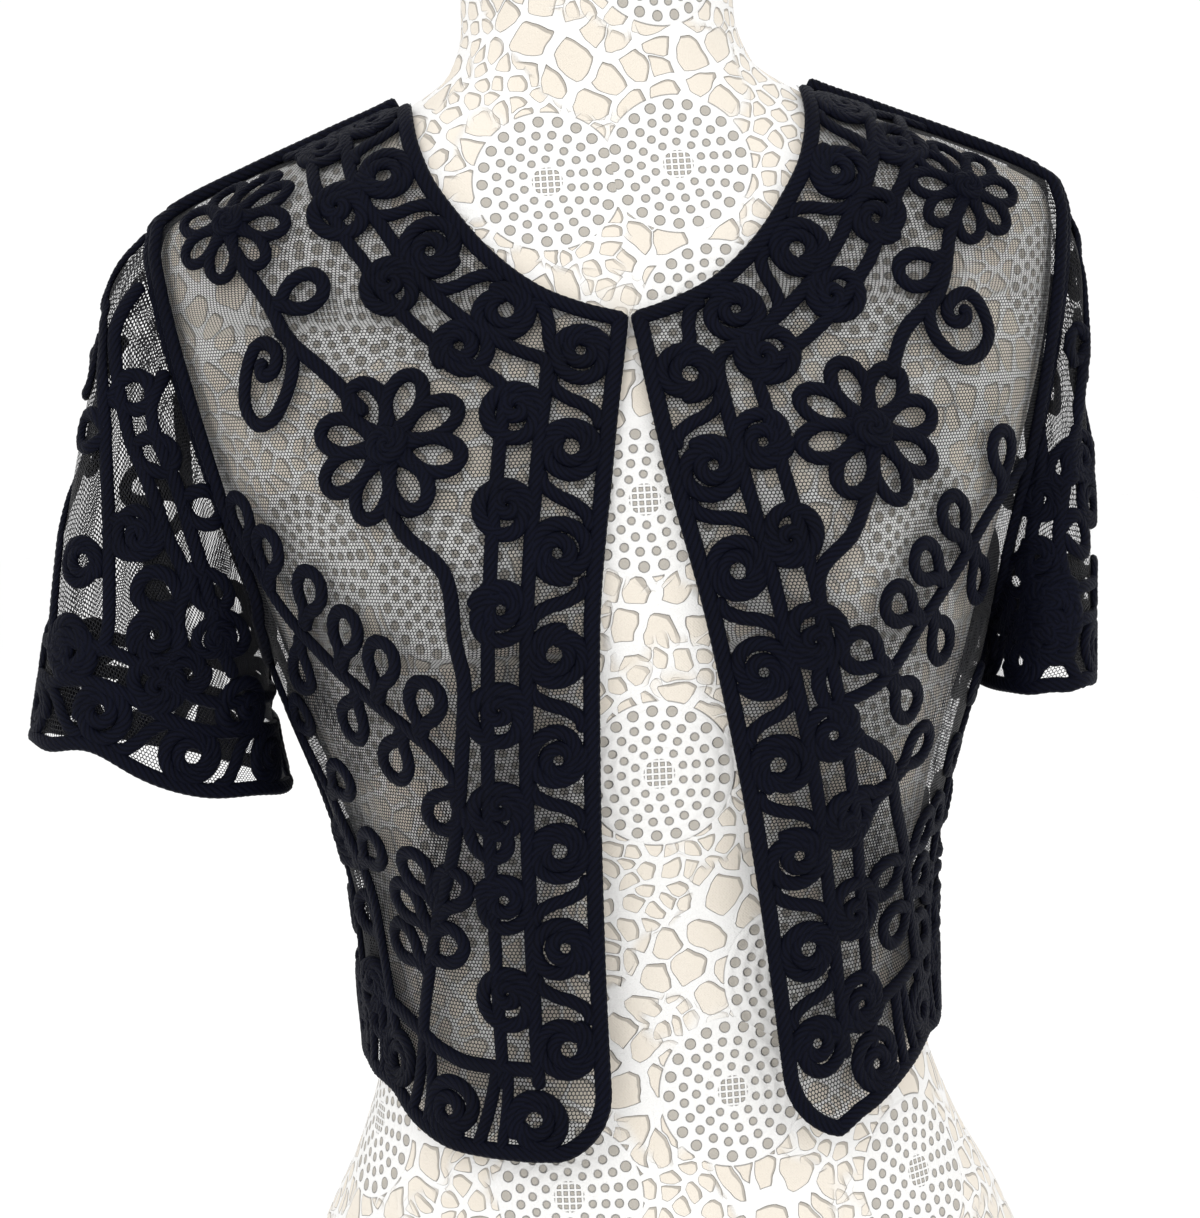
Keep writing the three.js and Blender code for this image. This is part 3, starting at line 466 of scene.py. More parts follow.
def set_on(surface, pattern, place, turn, scale=1.0, flip=False, lift=0.0):
    """A copy of a flat piece laid on the surface at a place, turned from straight up."""
    copy = pattern.copy()
    copy.data = pattern.data.copy()
    bpy.context.collection.objects.link(copy)
    count = len(copy.data.vertices)
    flat = np.empty(3 * count)
    copy.data.vertices.foreach_get("co", flat)
    flat = flat.reshape(-1, 3) / MM
    x = flat[:, 0] * (-scale if flip else scale)
    y = flat[:, 1] * scale
    over, up = turned(x, y, turn)
    p, q = step_on(surface, np.full(count, float(place[0])), np.full(count, float(place[1])), over, up)
    point, normal = frame_on(surface, p, q)[:2]
    laid = point + normal * (flat[:, 2] + lift)[:, None]
    copy.data.vertices.foreach_set("co", (laid * MM).ravel())
    copy.data.update()
    if flip:
        copy.data.flip_normals()
    return copy


def beside(surface, line, depth):
    """Line to the left of a line of surface coordinates."""
    p, q = line[:, 0], line[:, 1]
    _, _, across, up, along_p, along_q = frame_on(surface, p, q)
    way = unit(along_p * np.gradient(p)[:, None] + along_q * np.gradient(q)[:, None])
    a = np.sum(way * across, axis=-1)
    b = np.sum(way * up, axis=-1)
    return np.stack(step_on(surface, p, q, -b * depth, a * depth), axis=-1)


def stations(surface, line, pitch, start):
    """Coordinates and headings at equal steps along a line."""
    lengths = lengths_along(in_space(surface, line))
    found = []
    for at in np.arange(start, lengths[-1], pitch):
        here, ahead, behind = [
            [np.interp(place, lengths, line[:, k]) for k in (0, 1)]
            for place in (at, min(at + 2, lengths[-1]), max(at - 2, 0))
        ]
        _, _, across, up, _, _ = frame_on(surface, np.array(here[0]), np.array(here[1]))
        way = surface["point"](*ahead) - surface["point"](*behind)
        found.append((here, math.atan2(float(way @ across), float(way @ up))))
    return found


# Flat patterns of the corded work


def coil_line(outer, inner, shift, turns):
    """Ring of cord that winds into a smaller ring, set a little to one side."""
    t = np.linspace(0, 2 * np.pi * turns, 220)
    blend = np.clip((t - 1.55 * np.pi) / (0.9 * np.pi), 0, 1)
    blend = blend * blend * (3 - 2 * blend)
    radius = outer + (inner - outer) * blend
    return np.stack([radius * np.sin(t) + shift * blend, radius * np.cos(t)], axis=-1)


def turned(x, y, turn):
    """Place in the plane, turned clockwise."""
    return x * math.cos(turn) + y * math.sin(turn), y * math.cos(turn) - x * math.sin(turn)


def petal_line(root, long, wide, count):
    """Loops of one cord round a middle, each a petal."""
    shape = [(-0.1, 0.0), (-0.5, 0.16), (-0.92, 0.4), (-1.0, 0.66), (-0.66, 0.93), (0, 1.03), (0.66, 0.93),
             (1.0, 0.66), (0.92, 0.4), (0.5, 0.16), (0.1, 0.0)]
    points = []
    for i in range(count):
        turn = 2 * math.pi * i / count
        for over, out in shape:
            x = over * wide / 2
            y = root + out * (long - root)
            points.append(turned(x, y, turn))
    return smooth_line(points, closed=True, fine=8)


def loop_line(reach):
    """Oval ring of cord round a point this far from its root, with both ends at the root."""
    half_wide = 6.8
    half_long = min(8.0, max(6.0, 0.8 * reach))
    neck = max(0.0, reach - half_long)
    ring = [(-0.74, -0.66), (-1, 0), (-0.74, 0.72), (0, 1), (0.74, 0.72), (1, 0), (0.74, -0.66)]
    points = [(-0.8, 0.0)]
    if neck > 2:
        points.append((-1.6, neck * 0.8))
    points += [(half_wide * x, reach + half_long * y) for x, y in ring]
    if neck > 2:
        points.append((1.6, neck * 0.8))
    points.append((0.8, 0.0))
    return smooth_line(points)


def curl_line(long, wide):
    """Oval ring that winds on into a small curl inside its near end."""
    outline = [(0.05, 0), (-0.36, 0.14), (-0.52, 0.5), (-0.38, 0.86), (0, 1), (0.38, 0.86), (0.52, 0.52),
               (0.46, 0.24), (0.22, 0.16), (-0.06, 0.24), (-0.1, 0.42), (0.1, 0.5), (0.22, 0.42),
               (0.14, 0.33)]
    return smooth_line([(over * wide, out * long) for over, out in outline])


LOOP_CORD = 0.93
PETAL_REACH = 30.5
MIDDLE_LIFT = 1.4
SHORTEST_LOOP, LONGEST_LOOP = 7, 18
LINK = [(9.6, -9.5), (8.2, -4.5), (2.5, -0.8), (-2.5, 0.8), (-8.2, 4.5), (-9.6, 9.5)]
PATTERNS = {
    "link": flat_cord("link", smooth_line(LINK), 0.82, 0.9),
    "coil": flat_cord("coil", coil_line(9.1, 4.5, 1.5, 2.3), 0.88, 1.05),
    "open_coil": flat_cord("open coil", coil_line(9.2, 5.4, 1.0, 2.1), 0.84, 1.05),
    "tight_coil": flat_cord("tight coil", coil_line(9.2, 3.2, 2.0, 2.6), 0.9, 1.05),
    "flower": flat_cord("flower", petal_line(6, 28.2, 13.4, 8), LOOP_CORD, 1.0),
    "flower_middle": flat_cord("flower middle", coil_line(5.6, 2.2, 0.4, 2.4), 0.85, 1.1),
    "curl": flat_cord("curl", curl_line(38, 19.5), LOOP_CORD, 1.0),
    "round_curl": flat_cord("round curl", curl_line(29, 25), LOOP_CORD, 1.0),
}


def loop_pattern(reach):
    """Loop for this distance between root and middle, made once for each millimetre."""
    key = "loop_%d" % round(reach)
    if key not in PATTERNS:
        PATTERNS[key] = flat_cord(key, loop_line(round(reach)), LOOP_CORD, 1.0)
    return PATTERNS[key]


def flower_at(surface, place, reach, turn):
    """Flower whose petals reach so far, with its raised middle."""
    scale = reach / PETAL_REACH
    parts = [set_on(surface, PATTERNS["flower"], place, turn, scale)]
    parts.append(set_on(surface, PATTERNS["flower_middle"], place, turn, min(1.15, scale),
                        lift=MIDDLE_LIFT))
    return parts


def heading_to(surface, root, centre):
    """Distance and heading on the cloth from one place to another."""
    start = np.array(root, float)
    point, _, across, up, _, _ = frame_on(surface, start[0], start[1])
    way = surface["point"](*centre) - point
    return float(np.linalg.norm(way)), math.atan2(float(way @ across), float(way @ up))


def loop_at(surface, root, centre):
    """Loop that grows from a stem at its root round a place."""
    reach, turn = heading_to(surface, root, centre)
    return set_on(surface, loop_pattern(np.clip(reach, SHORTEST_LOOP, LONGEST_LOOP)), root, turn)


def curl_at(surface, root, centre, pattern, flip):
    """Curl that grows from a stem at its root towards a place."""
    _, turn = heading_to(surface, root, centre)
    return set_on(surface, PATTERNS[pattern], root, turn, flip=flip)


def bead_row(surface, line, pitch, start, kinds, flip=False):
    """Patterns in a row along a line, of several kinds in turn."""
    parts = []
    for i, (place, heading) in enumerate(stations(surface, line, pitch, start)):
        kind, turn, scale = kinds[i % len(kinds)]
        parts.append(set_on(surface, PATTERNS[kind], place, heading + turn, COIL_SIZE * scale,
                            flip=flip != (i % 3 == 1)))
    return parts


# Borders lie to the left of a path, at these depths
EDGE_DEPTH = 3.0
FIRST_DEPTH = 16.4
RAIL_DEPTH = 28.0
SECOND_DEPTH = 38.4
OUTER_DEPTH = 42.5
COIL_PITCH = 39.0
COIL_SIZE = 1.09
# Share of its depth by which a border line is cut back at a corner
MITRE = 0.8
HEM_RAIL_DEPTH = 36.0
HEM_COIL_DEPTH = 15.5
HEM_PITCH = 37.0
FIRST_KINDS = [("open_coil", 0.4, 1.0), ("coil", 2.6, 1.03), ("open_coil", -1.2, 0.98), ("coil", 1.2, 1.0)]
SECOND_KINDS = [("tight_coil", 1.5, 1.03), ("coil", -1.4, 1.0), ("tight_coil", 1.8, 0.97)]
HEM_KINDS = [("coil", 0.7, 1.05), ("open_coil", 2.4, 1.0)]
LINK_KINDS = [("link", 0.0, 1.0)]


def inner_line(surface, lines, depth):
    """One line at a depth inside several edges that meet at corners."""
    found = []
    for i, line in enumerate(lines):
        lengths = lengths_along(in_space(surface, line))
        keep = np.ones(len(line), bool)
        if i > 0:
            keep &= lengths > MITRE * depth
        if i + 1 < len(lines):
            keep &= lengths < lengths[-1] - MITRE * depth
        found.append(beside(surface, line, depth)[keep])
    line = np.concatenate(found)
    coarse, _ = spaced(in_space(surface, line), line, 9.0)
    return smooth_line(coarse, fine=8)


def coil_border(surface, lines, start):
    """Two rails beside an edge, with a row of coils on each and links between the first ones."""
    parts = [cord_on(surface, inner_line(surface, lines, RAIL_DEPTH), 0.92)]
    parts.append(cord_on(surface, inner_line(surface, lines, OUTER_DEPTH), 0.88))
    first = inner_line(surface, lines, FIRST_DEPTH)
    second = inner_line(surface, lines, SECOND_DEPTH)
    parts += bead_row(surface, first, COIL_PITCH, start, FIRST_KINDS)
    parts += bead_row(surface, first, COIL_PITCH, start + COIL_PITCH / 2, LINK_KINDS)
    parts += bead_row(surface, second, COIL_PITCH, start + COIL_PITCH / 2, SECOND_KINDS, True)
    return parts


def hem_band(surface, line, start):
    """A rail beside a hem, coils between them, and two slanting bars from one coil to the next."""
    rail = beside(surface, line, HEM_RAIL_DEPTH)
    inner = beside(surface, line, EDGE_DEPTH)
    parts = [cord_on(surface, rail)]
    parts += bead_row(surface, beside(surface, line, HEM_COIL_DEPTH), HEM_PITCH, start, HEM_KINDS)
    for foot_share, head_share, width in ((0.42, 0.5, 0.9), (0.7, 0.62, 0.8)):
        feet = stations(surface, inner, HEM_PITCH, start + HEM_PITCH * foot_share)
        heads = stations(surface, rail, HEM_PITCH, start + HEM_PITCH * head_share)
        for (foot, _), (head, _) in zip(feet, heads):
            parts.append(cord_on(surface, smooth_line([foot, head]), width))
    return parts


# Routes and motifs: angle round the body in degrees from the middle, and level;
# a loop has those of its root and then those of its middle
FRONT_WORK = {
    "right": {
        "flowers": [((52, 546), 25, 0.1), ((31, 457), 31, 0.25)],
        "stems": [
            [(49.5, 536), (44, 515), (41.5, 499), (37, 485), (33, 469)],
            [(33, 437), (31.5, 424), (27.5, 409), (28, 385), (28, 365), (31.5, 334), (36.5, 302),
             (44, 272), (49, 238), (51, 216)],
            [(67, 424), (61, 398), (51.5, 376), (43, 359), (36, 344), (32.2, 327)],
            [(84, 372), (76, 345), (71, 318), (66, 286), (64, 252), (60, 218)],
            [(88, 352), (85, 316), (80, 284), (77, 248), (74, 222)],
        ],
        "curls": [((42.5, 503), (47.5, 477), "curl", False)],
        "coils": [((81, 266), "coil", 1.0), ((70, 238), "tight_coil", 1.0), ((83, 230), "coil", 1.05),
                  ((73, 300), "coil", 0.85)],
        "loops": [
            (43, 512, 38.5, 517), (62, 403, 54, 431), (55, 388, 47, 415), (49, 372, 43, 400),
            (43, 360, 39, 385), (37, 347, 34.5, 362), (57, 385, 61, 371), (46, 366, 50, 352),
            (39, 352, 43.5, 336), (32, 330, 37, 318), (34, 320, 29, 306), (43, 276, 47, 296),
            (45, 266, 52, 280), (47, 250, 55, 262), (44, 272, 39, 286), (46.5, 255, 42, 262),
            (65, 415, 59, 450), (76, 345, 68, 352), (70, 318, 62, 326), (66, 290, 59, 298),
            (80, 288, 72, 296), (64, 258, 70, 268), (78, 252, 85, 266), (62, 234, 67, 226),
            (76, 236, 82, 230), (82, 300, 88, 292),
        ],
    },
    "left": {
        "flowers": [((46, 545), 24, 0.15), ((29, 453), 31, -0.2)],
        "stems": [
            [(46, 545), (41, 529), (38.5, 505), (33.5, 490), (31.5, 472)],
            [(29.8, 436), (28.6, 427), (27, 415), (23, 401), (24.5, 376), (24.5, 357),
             (30.5, 340), (39.5, 326), (44.5, 304), (51.5, 280), (56, 252), (59, 228)],
            [(64, 436), (55, 420), (49, 400), (41.5, 379), (35, 359), (26, 350)],
            [(86, 366), (80, 340), (77, 312), (72, 288), (70, 256), (70, 226)],
            [(89, 340), (87, 300), (84, 262), (82, 228)],
        ],
        "curls": [((38.5, 504), (44, 483), "round_curl", True)],
        "coils": [((78, 254), "coil", 1.0), ((84, 296), "tight_coil", 0.95), ((77, 228), "coil", 1.05),
                  ((67, 266), "coil", 0.8)],
        "loops": [
            (40, 518, 35.5, 513), (57, 424, 52.5, 447), (50, 404, 42.5, 424), (46, 392, 36.5, 409),
            (41.5, 379, 32.5, 393), (36, 362, 29.5, 373), (51, 406, 56, 391), (43, 383, 47, 370),
            (36, 360, 41, 349), (41.5, 316, 34.5, 309), (42, 318, 48, 332), (51, 281, 58, 292),
            (53.5, 265, 61, 272), (55, 256, 62, 248), (50, 283, 45, 277), (54, 262, 48.5, 256),
            (80, 340, 72, 346), (77, 314, 69, 318), (72, 288, 65, 296), (72, 272, 78, 282),
            (70, 258, 76, 262), (70, 246, 64, 236), (85, 284, 90, 296), (83, 246, 76, 240),
            (87, 310, 83, 322),
        ],
    },
}
BACK_MIDDLE_WORK = {
    "flowers": [((180, 470), 25, 0.2)],
    "stems": [[(180, 446), (180, 410), (180, 378)], [(180, 322), (180, 243)]],
    "loops": [(180, 318, 180, 340)],
}
# One half of the back; the other is its mirror
BACK_HALF_WORK = {
    "flowers": [((145, 460), 29, 0.1)],
    "stems": [
        [(99, 386), (106, 350), (111, 312), (113, 270), (112, 226)],
        [(126, 410), (133, 372), (140, 334), (142, 290), (140, 246)],
        [(147, 432), (150, 425), (158, 390), (171, 350), (180, 318)],
        [(143, 488), (138, 510), (146, 530)],
    ],
    "curls": [((150, 428), (163, 446), "round_curl", False)],
    "loops": [
        (157, 396, 148, 384), (180, 276, 171, 288), (163, 376, 172, 392), (168, 360, 159, 347),
        (176, 334, 167, 322), (180, 258, 171, 262), (140, 500, 131, 508), (180, 420, 173, 404),
        (180, 396, 174, 380), (104, 356, 97, 344), (109, 328, 117, 338), (112, 296, 104, 288),
        (113, 274, 121, 282), (112, 250, 104, 242), (130, 392, 121, 384), (135, 364, 143, 372),
        (139, 338, 130, 328), (141, 310, 150, 318), (142, 286, 133, 278), (141, 264, 150, 272),
    ],
}
# Angle round the sleeve from its outer line, and share of the way to the cuff
SLEEVE_WORK = {
    "right": {
        "stems": [
            [(14, 0.02), (8, 0.12), (34, 0.16), (46, 0.28), (56, 0.44), (60, 0.53), (64, 0.66), (62, 0.74)],
            [(40, 0.03), (44, 0.14), (58, 0.24), (72, 0.27), (84, 0.33), (96, 0.37), (94, 0.47), (96, 0.6)],
            [(68, 0.04), (70, 0.14), (88, 0.2), (104, 0.3), (112, 0.42), (124, 0.5)],
            [(30, 0.76), (20, 0.6), (-6, 0.45), (-24, 0.3), (-38, 0.14)],
            [(-70, 0.06), (-82, 0.3), (-70, 0.52), (-84, 0.76)],
            [(-120, 0.08), (-130, 0.36), (-118, 0.6), (-128, 0.78)],
        ],
        "coils": [((72, 0.4), "coil", 1.0), ((46, 0.58), "open_coil", 0.92), ((86, 0.6), "coil", 1.05),
                  ((42, 0.76), "tight_coil", 1.1), ((100, 0.63), "open_coil", 0.9),
                  ((112, 0.44), "coil", 0.8)],
        "loops": [
            (46, 0.24, 58, 0.15), (30, 0.17, -2, 0.37), (62, 0.25, 74, 0.19), (94, 0.34, 108, 0.3),
            (94, 0.45, 84, 0.48), (88, 0.2, 98, 0.12), (56, 0.46, 66, 0.44), (48, 0.3, 38, 0.33),
            (-28, 0.28, -12, 0.22), (-80, 0.28, -62, 0.36), (-72, 0.48, -90, 0.56),
            (-16, 0.36, -30, 0.44), (-128, 0.3, -112, 0.38), (-120, 0.56, -138, 0.62),
            (106, 0.34, 120, 0.36),
        ],
    },
    "left": {
        "stems": [
            [(6, 0.06), (24, 0.14), (40, 0.26), (60, 0.36), (80, 0.4), (88, 0.52), (84, 0.64), (74, 0.74)],
            [(96, 0.04), (100, 0.16), (112, 0.3), (120, 0.46), (126, 0.62)],
            [(12, 0.26), (4, 0.4), (22, 0.55), (36, 0.66)],
            [(-40, 0.1), (-60, 0.34), (-52, 0.6), (-64, 0.76)],
            [(-96, 0.08), (-104, 0.34), (-94, 0.58), (-104, 0.76)],
        ],
        "coils": [((56, 0.45), "coil", 1.0), ((104, 0.22), "open_coil", 0.85), ((110, 0.42), "coil", 0.9),
                  ((94, 0.68), "tight_coil", 1.05), ((104, 0.78), "coil", 1.1),
                  ((46, 0.59), "open_coil", 0.95)],
        "loops": [
            (22, 0.13, 12, 0.19), (18, 0.28, 14, 0.36), (60, 0.36, 82, 0.31), (86, 0.5, 74, 0.56),
            (112, 0.3, 126, 0.34), (88, 0.54, 102, 0.56), (40, 0.26, 52, 0.2), (24, 0.55, 10, 0.6),
            (-52, 0.26, -36, 0.36), (-56, 0.46, -74, 0.54), (-100, 0.28, -84, 0.36),
            (-98, 0.5, -114, 0.58),
        ],
    },
}


def placed(where, side):
    """Surface coordinates of a place in a table, whose angle is in degrees."""
    return side * where[0] * DEGREE, where[1]


def mirrored(work):
    """Table of the back's other half."""
    def over(where):
        return 360 - where[0], where[1]

    return {
        "flowers": [(over(where), reach, -turn) for where, reach, turn in work["flowers"]],
        "stems": [[over(where) for where in stem] for stem in work["stems"]],
        "curls": [(over(root), over(centre), kind, not flip) for root, centre, kind, flip in work["curls"]],
        "loops": [over(loop[:2]) + over(loop[2:]) for loop in work["loops"]],
    }


def motif_parts(surface, work, side=1):
    """Flowers, stems, curls, loops and coils of one piece, from its table."""
    def place(where):
        return placed(where, side)

    parts = []
    for where, reach, turn in work.get("flowers", []):
        parts += flower_at(surface, place(where), reach, turn)
    for stem in work.get("stems", []):
        parts.append(cord_on(surface, smooth_line([place(where) for where in stem]), 0.95))
    for root, centre, pattern, flip in work.get("curls", []):
        parts.append(curl_at(surface, place(root), place(centre), pattern, flip))
    for loop in work.get("loops", []):
        parts.append(loop_at(surface, place(loop[:2]), place(loop[2:])))
    for i, (where, kind, scale) in enumerate(work.get("coils", [])):
        parts.append(set_on(surface, PATTERNS[kind], place(where), 1.7 * i, scale, flip=i % 2 == 1))
    return parts


def neck_line():
    """Front neckline of the wearer's left side, from the shoulder down."""
    z = np.linspace(590, 505, 60)
    return np.stack([front_angle(table_value(NECKLINE, 1, z), z), z], axis=-1)


def front_edge(name, z):
    """Distance of a front's edge from the middle plane, with its rounded lower corner."""
    edge = table_value(FRONT_EDGE[name], 1, z)
    rise = np.clip(HEM_CORNER_RADIUS - (z - HEM_FRONT), 0, HEM_CORNER_RADIUS - 0.01)
    round_off = HEM_CORNER_RADIUS - np.sqrt(HEM_CORNER_RADIUS ** 2 - rise ** 2)
    return np.where(z >= FRONT_NECK, table_value(NECKLINE, 1, z), edge + round_off)


def edge_line(name, z):
    """Edge of a front at these levels."""
    return np.stack([front_angle(front_edge(name, z), z), z], axis=-1)


def front_hem_line(name, start_by=3.0):
    """Hem of a front, from so many degrees past its corner to the side seam."""
    start = float(front_angle(front_edge(name, HEM_FRONT + 0.5), HEM_FRONT)) / DEGREE
    angle = np.linspace(start + start_by, 89.75, 60)
    return np.stack([angle * DEGREE, table_value(FRONT_HEM[name], 1, angle)], axis=-1)


def on_side(name, line):
    """A path of the right front runs the other way, so that left of it is inside."""
    if name == "left":
        return line
    return (line * [-1, 1])[::-1]


def front_border(name):
    """Edge cord, coil border and hem band of a front."""
    neck = neck_line()
    front = edge_line(name, np.linspace(FRONT_NECK, HEM_FRONT + 29, 150))
    corner = edge_line(name, HEM_FRONT + np.array([26, 20, 14, 9, 5, 2.4, 0.8]))
    hem = front_hem_line(name)
    whole = np.concatenate([neck, front, corner, front_hem_line(name, 5.0)])
    coordinates, _ = spaced(in_space(BODY, whole), whole, 3.0)
    edge = on_side(name, coordinates)
    parts = [cord_on(BODY, beside(BODY, edge, EDGE_DEPTH), 1.05)]
    lines = [on_side(name, line) for line in (neck, front)]
    parts += coil_border(BODY, lines if name == "left" else lines[::-1], 12 if name == "left" else 16)
    parts += hem_band(BODY, on_side(name, hem), 20 if name == "left" else 14)
    return parts


def back_neck_line():
    """Back neckline, from one shoulder to the other."""
    share = np.linspace(-0.985, 0.985, 90)
    return np.stack([math.pi - share * 0.5 * math.pi, NECK_POINT - BACK_NECK_DROP * (1 - share ** 4) - 0.5],
                    axis=-1)


def back_hem_line():
    """Back hem, from one side seam to the other."""
    angle = np.linspace(90.25, 269.75, 120) * DEGREE
    return np.stack([angle, np.full(120, float(BACK_HEM))], axis=-1)


def cuff_edge(name, around):
    """Share of the sleeve's length at which its cuff ends."""
    edge = 1 - 0.006 * (1 - np.cos(9 * around)) / 2
    for middle, width, shift in CUFF_WAVES[name]:
        edge = edge + shift * bell(around - middle * DEGREE, width * DEGREE)
    return edge


def cuff_line(name):
    """All round the cuff, but for a small gap at the underarm seam."""
    side = SIDE_OF[name]
    angle = -side * np.linspace(-178, 178, 150) * DEGREE
    return np.stack([angle, cuff_edge(name, angle)], axis=-1)


def armhole_line(side):
    """All round the armhole, on the body side of its seam."""
    angle, z = armhole_outline(np.linspace(0, 2 * np.pi, 160), *ARMHOLE_CORD_SCALE)
    return np.stack([side * angle, z], axis=-1)


# The pieces of net


def flat_map(point, spine=None):
    """Cloth coordinates in mm for rows and columns of points, along the threads.

    Heights are measured up one column, the spine, or as the mean of all columns.
    """
    across = np.linalg.norm(np.diff(point, axis=1), axis=-1)
    across = np.concatenate([np.zeros((len(point), 1)), np.cumsum(across, axis=1)], axis=1)
    across = across - across[:, across.shape[1] // 2][:, None]
    down = np.linalg.norm(np.diff(point, axis=0), axis=-1)
    down = down.mean(axis=1) if spine is None else down[:, spine]
    down = np.concatenate([[0], np.cumsum(down)])
    return np.stack([across, down[:, None] + 0 * across], axis=-1)


def net_piece(name, point, gathered, turned_over, closed=False):
    """Sheet of net with its own map, and how closely it is gathered at each point."""
    piece = grid_piece(name, point, flat_map(point))
    gather = piece.data.attributes.new("gather", "FLOAT", "POINT")
    gather.data.foreach_set("value", np.broadcast_to(gathered, point.shape[:2]).ravel())
    if closed:
        merge_edges()
        bpy.ops.object.mode_set(mode="OBJECT")
    if turned_over:
        piece.data.flip_normals()
    return piece


def body_gather(angle, z):
    """Closeness of the body's gathers, most at the waist sides and under the arms."""
    total = np.zeros(np.broadcast(angle, z).shape)
    for _, near, level in near_folds(angle, z, FOLDS[WIDE_FOLDS:], 1.6):
        total = total + 0.6 * near * level
    side_on = np.clip((np.abs(np.sin(angle)) - 0.72) / 0.28, 0, 1) * bell(z - 290, 90)
    return np.clip(total + 0.6 * side_on, 0, 1.2)


def sleeve_gather(around, t):
    """Closeness of the gathers that run down a sleeve from its head."""
    total = np.zeros(np.broadcast(around, t).shape)
    for _, near, fall in near_gathers(around, t, 1.5):
        total = total + 0.7 * near * fall
    return np.clip(total, 0, 1.2)


def net_front(name):
    """Sheet of a front, from hem to shoulder and from its edge to the side seam."""
    side = SIDE_OF[name]
    low = np.concatenate([HEM_FRONT + np.array([0.3, 1.2, 3, 6, 10, 15, 21]), np.linspace(204, 495, 95)])
    level = np.concatenate([low, [499, 502, 503, 504.5, 506, 508, 511], np.linspace(514, 592, 30)])[:, None]
    inner = front_angle(front_edge(name, level), level)
    outer = armhole_angle(level)
    share = np.linspace(0, 1, 61)[None, :]
    angle = inner + (outer - inner) * share
    hem = table_value(FRONT_HEM[name], 1, angle / DEGREE)
    lift = np.clip((HEM_BLEND_TOP - level) / (HEM_BLEND_TOP - HEM_FRONT), 0, 1)
    height = level + (hem - HEM_FRONT) * lift
    point = cloth_point(side * angle, height)
    return net_piece("net_front_" + name, point, body_gather(side * angle, height), side < 0)


def net_back():
    """Sheet of the back, from hem to neck."""
    level = np.linspace(BACK_HEM, NECK_POINT, 130)[:, None]
    start = math.pi - armhole_angle(level)
    bend = np.linspace(-1, 1, 121)[None, :]
    angle = math.pi + (math.pi - start) * bend
    share = np.clip((level - SHOULDER_TIP) / (NECK_POINT - SHOULDER_TIP), 0, 1)
    point = cloth_point(angle, level - BACK_NECK_DROP * share * (1 - bend ** 4))
    return net_piece("net_back", point, body_gather(angle, level), False)


def net_sleeve(name):
    """Sheet of a sleeve, closed along its underarm seam."""
    t = np.linspace(0, 1, 70)[:, None]
    around = np.linspace(-np.pi, np.pi, 145)[None, :]
    wavy = t + t ** 8 * (cuff_edge(name, around) - 1)
    point = SLEEVE_SURFACES[name]["point"](around, wavy)
    return net_piece("net_sleeve_" + name, point, sleeve_gather(around, t), name == "right", closed=True)


def dress_form():
    """The padded form: side wall, rounded shoulder to its neck cap, and flat underside."""
    levels = np.concatenate([[0, 0, 0], np.linspace(0, 664, 190), [666, 667.4, 668, 668, 668]])
    shrink = np.ones(len(levels))
    shrink[:3] = [0.02, 0.5, 0.985]
    shrink[-5:] = [0.993, 0.975, 0.94, 0.5, 0.02]
    half = 91
    front = np.linspace(-SIDE_SEAM, SIDE_SEAM, half)
    around = np.concatenate([front, front + math.pi])[None, :]
    point = form_point(around, levels[:, None])
    point[..., :2] *= shrink[:, None, None]
    middle = half // 2
    flat = np.concatenate([
        flat_map(point[:, :half], middle), flat_map(point[:, half:], middle) + BACK_MAP_SHIFT,
    ], axis=1)
    return grid_piece("form_cover", point, flat, solid=True)


# Finishes


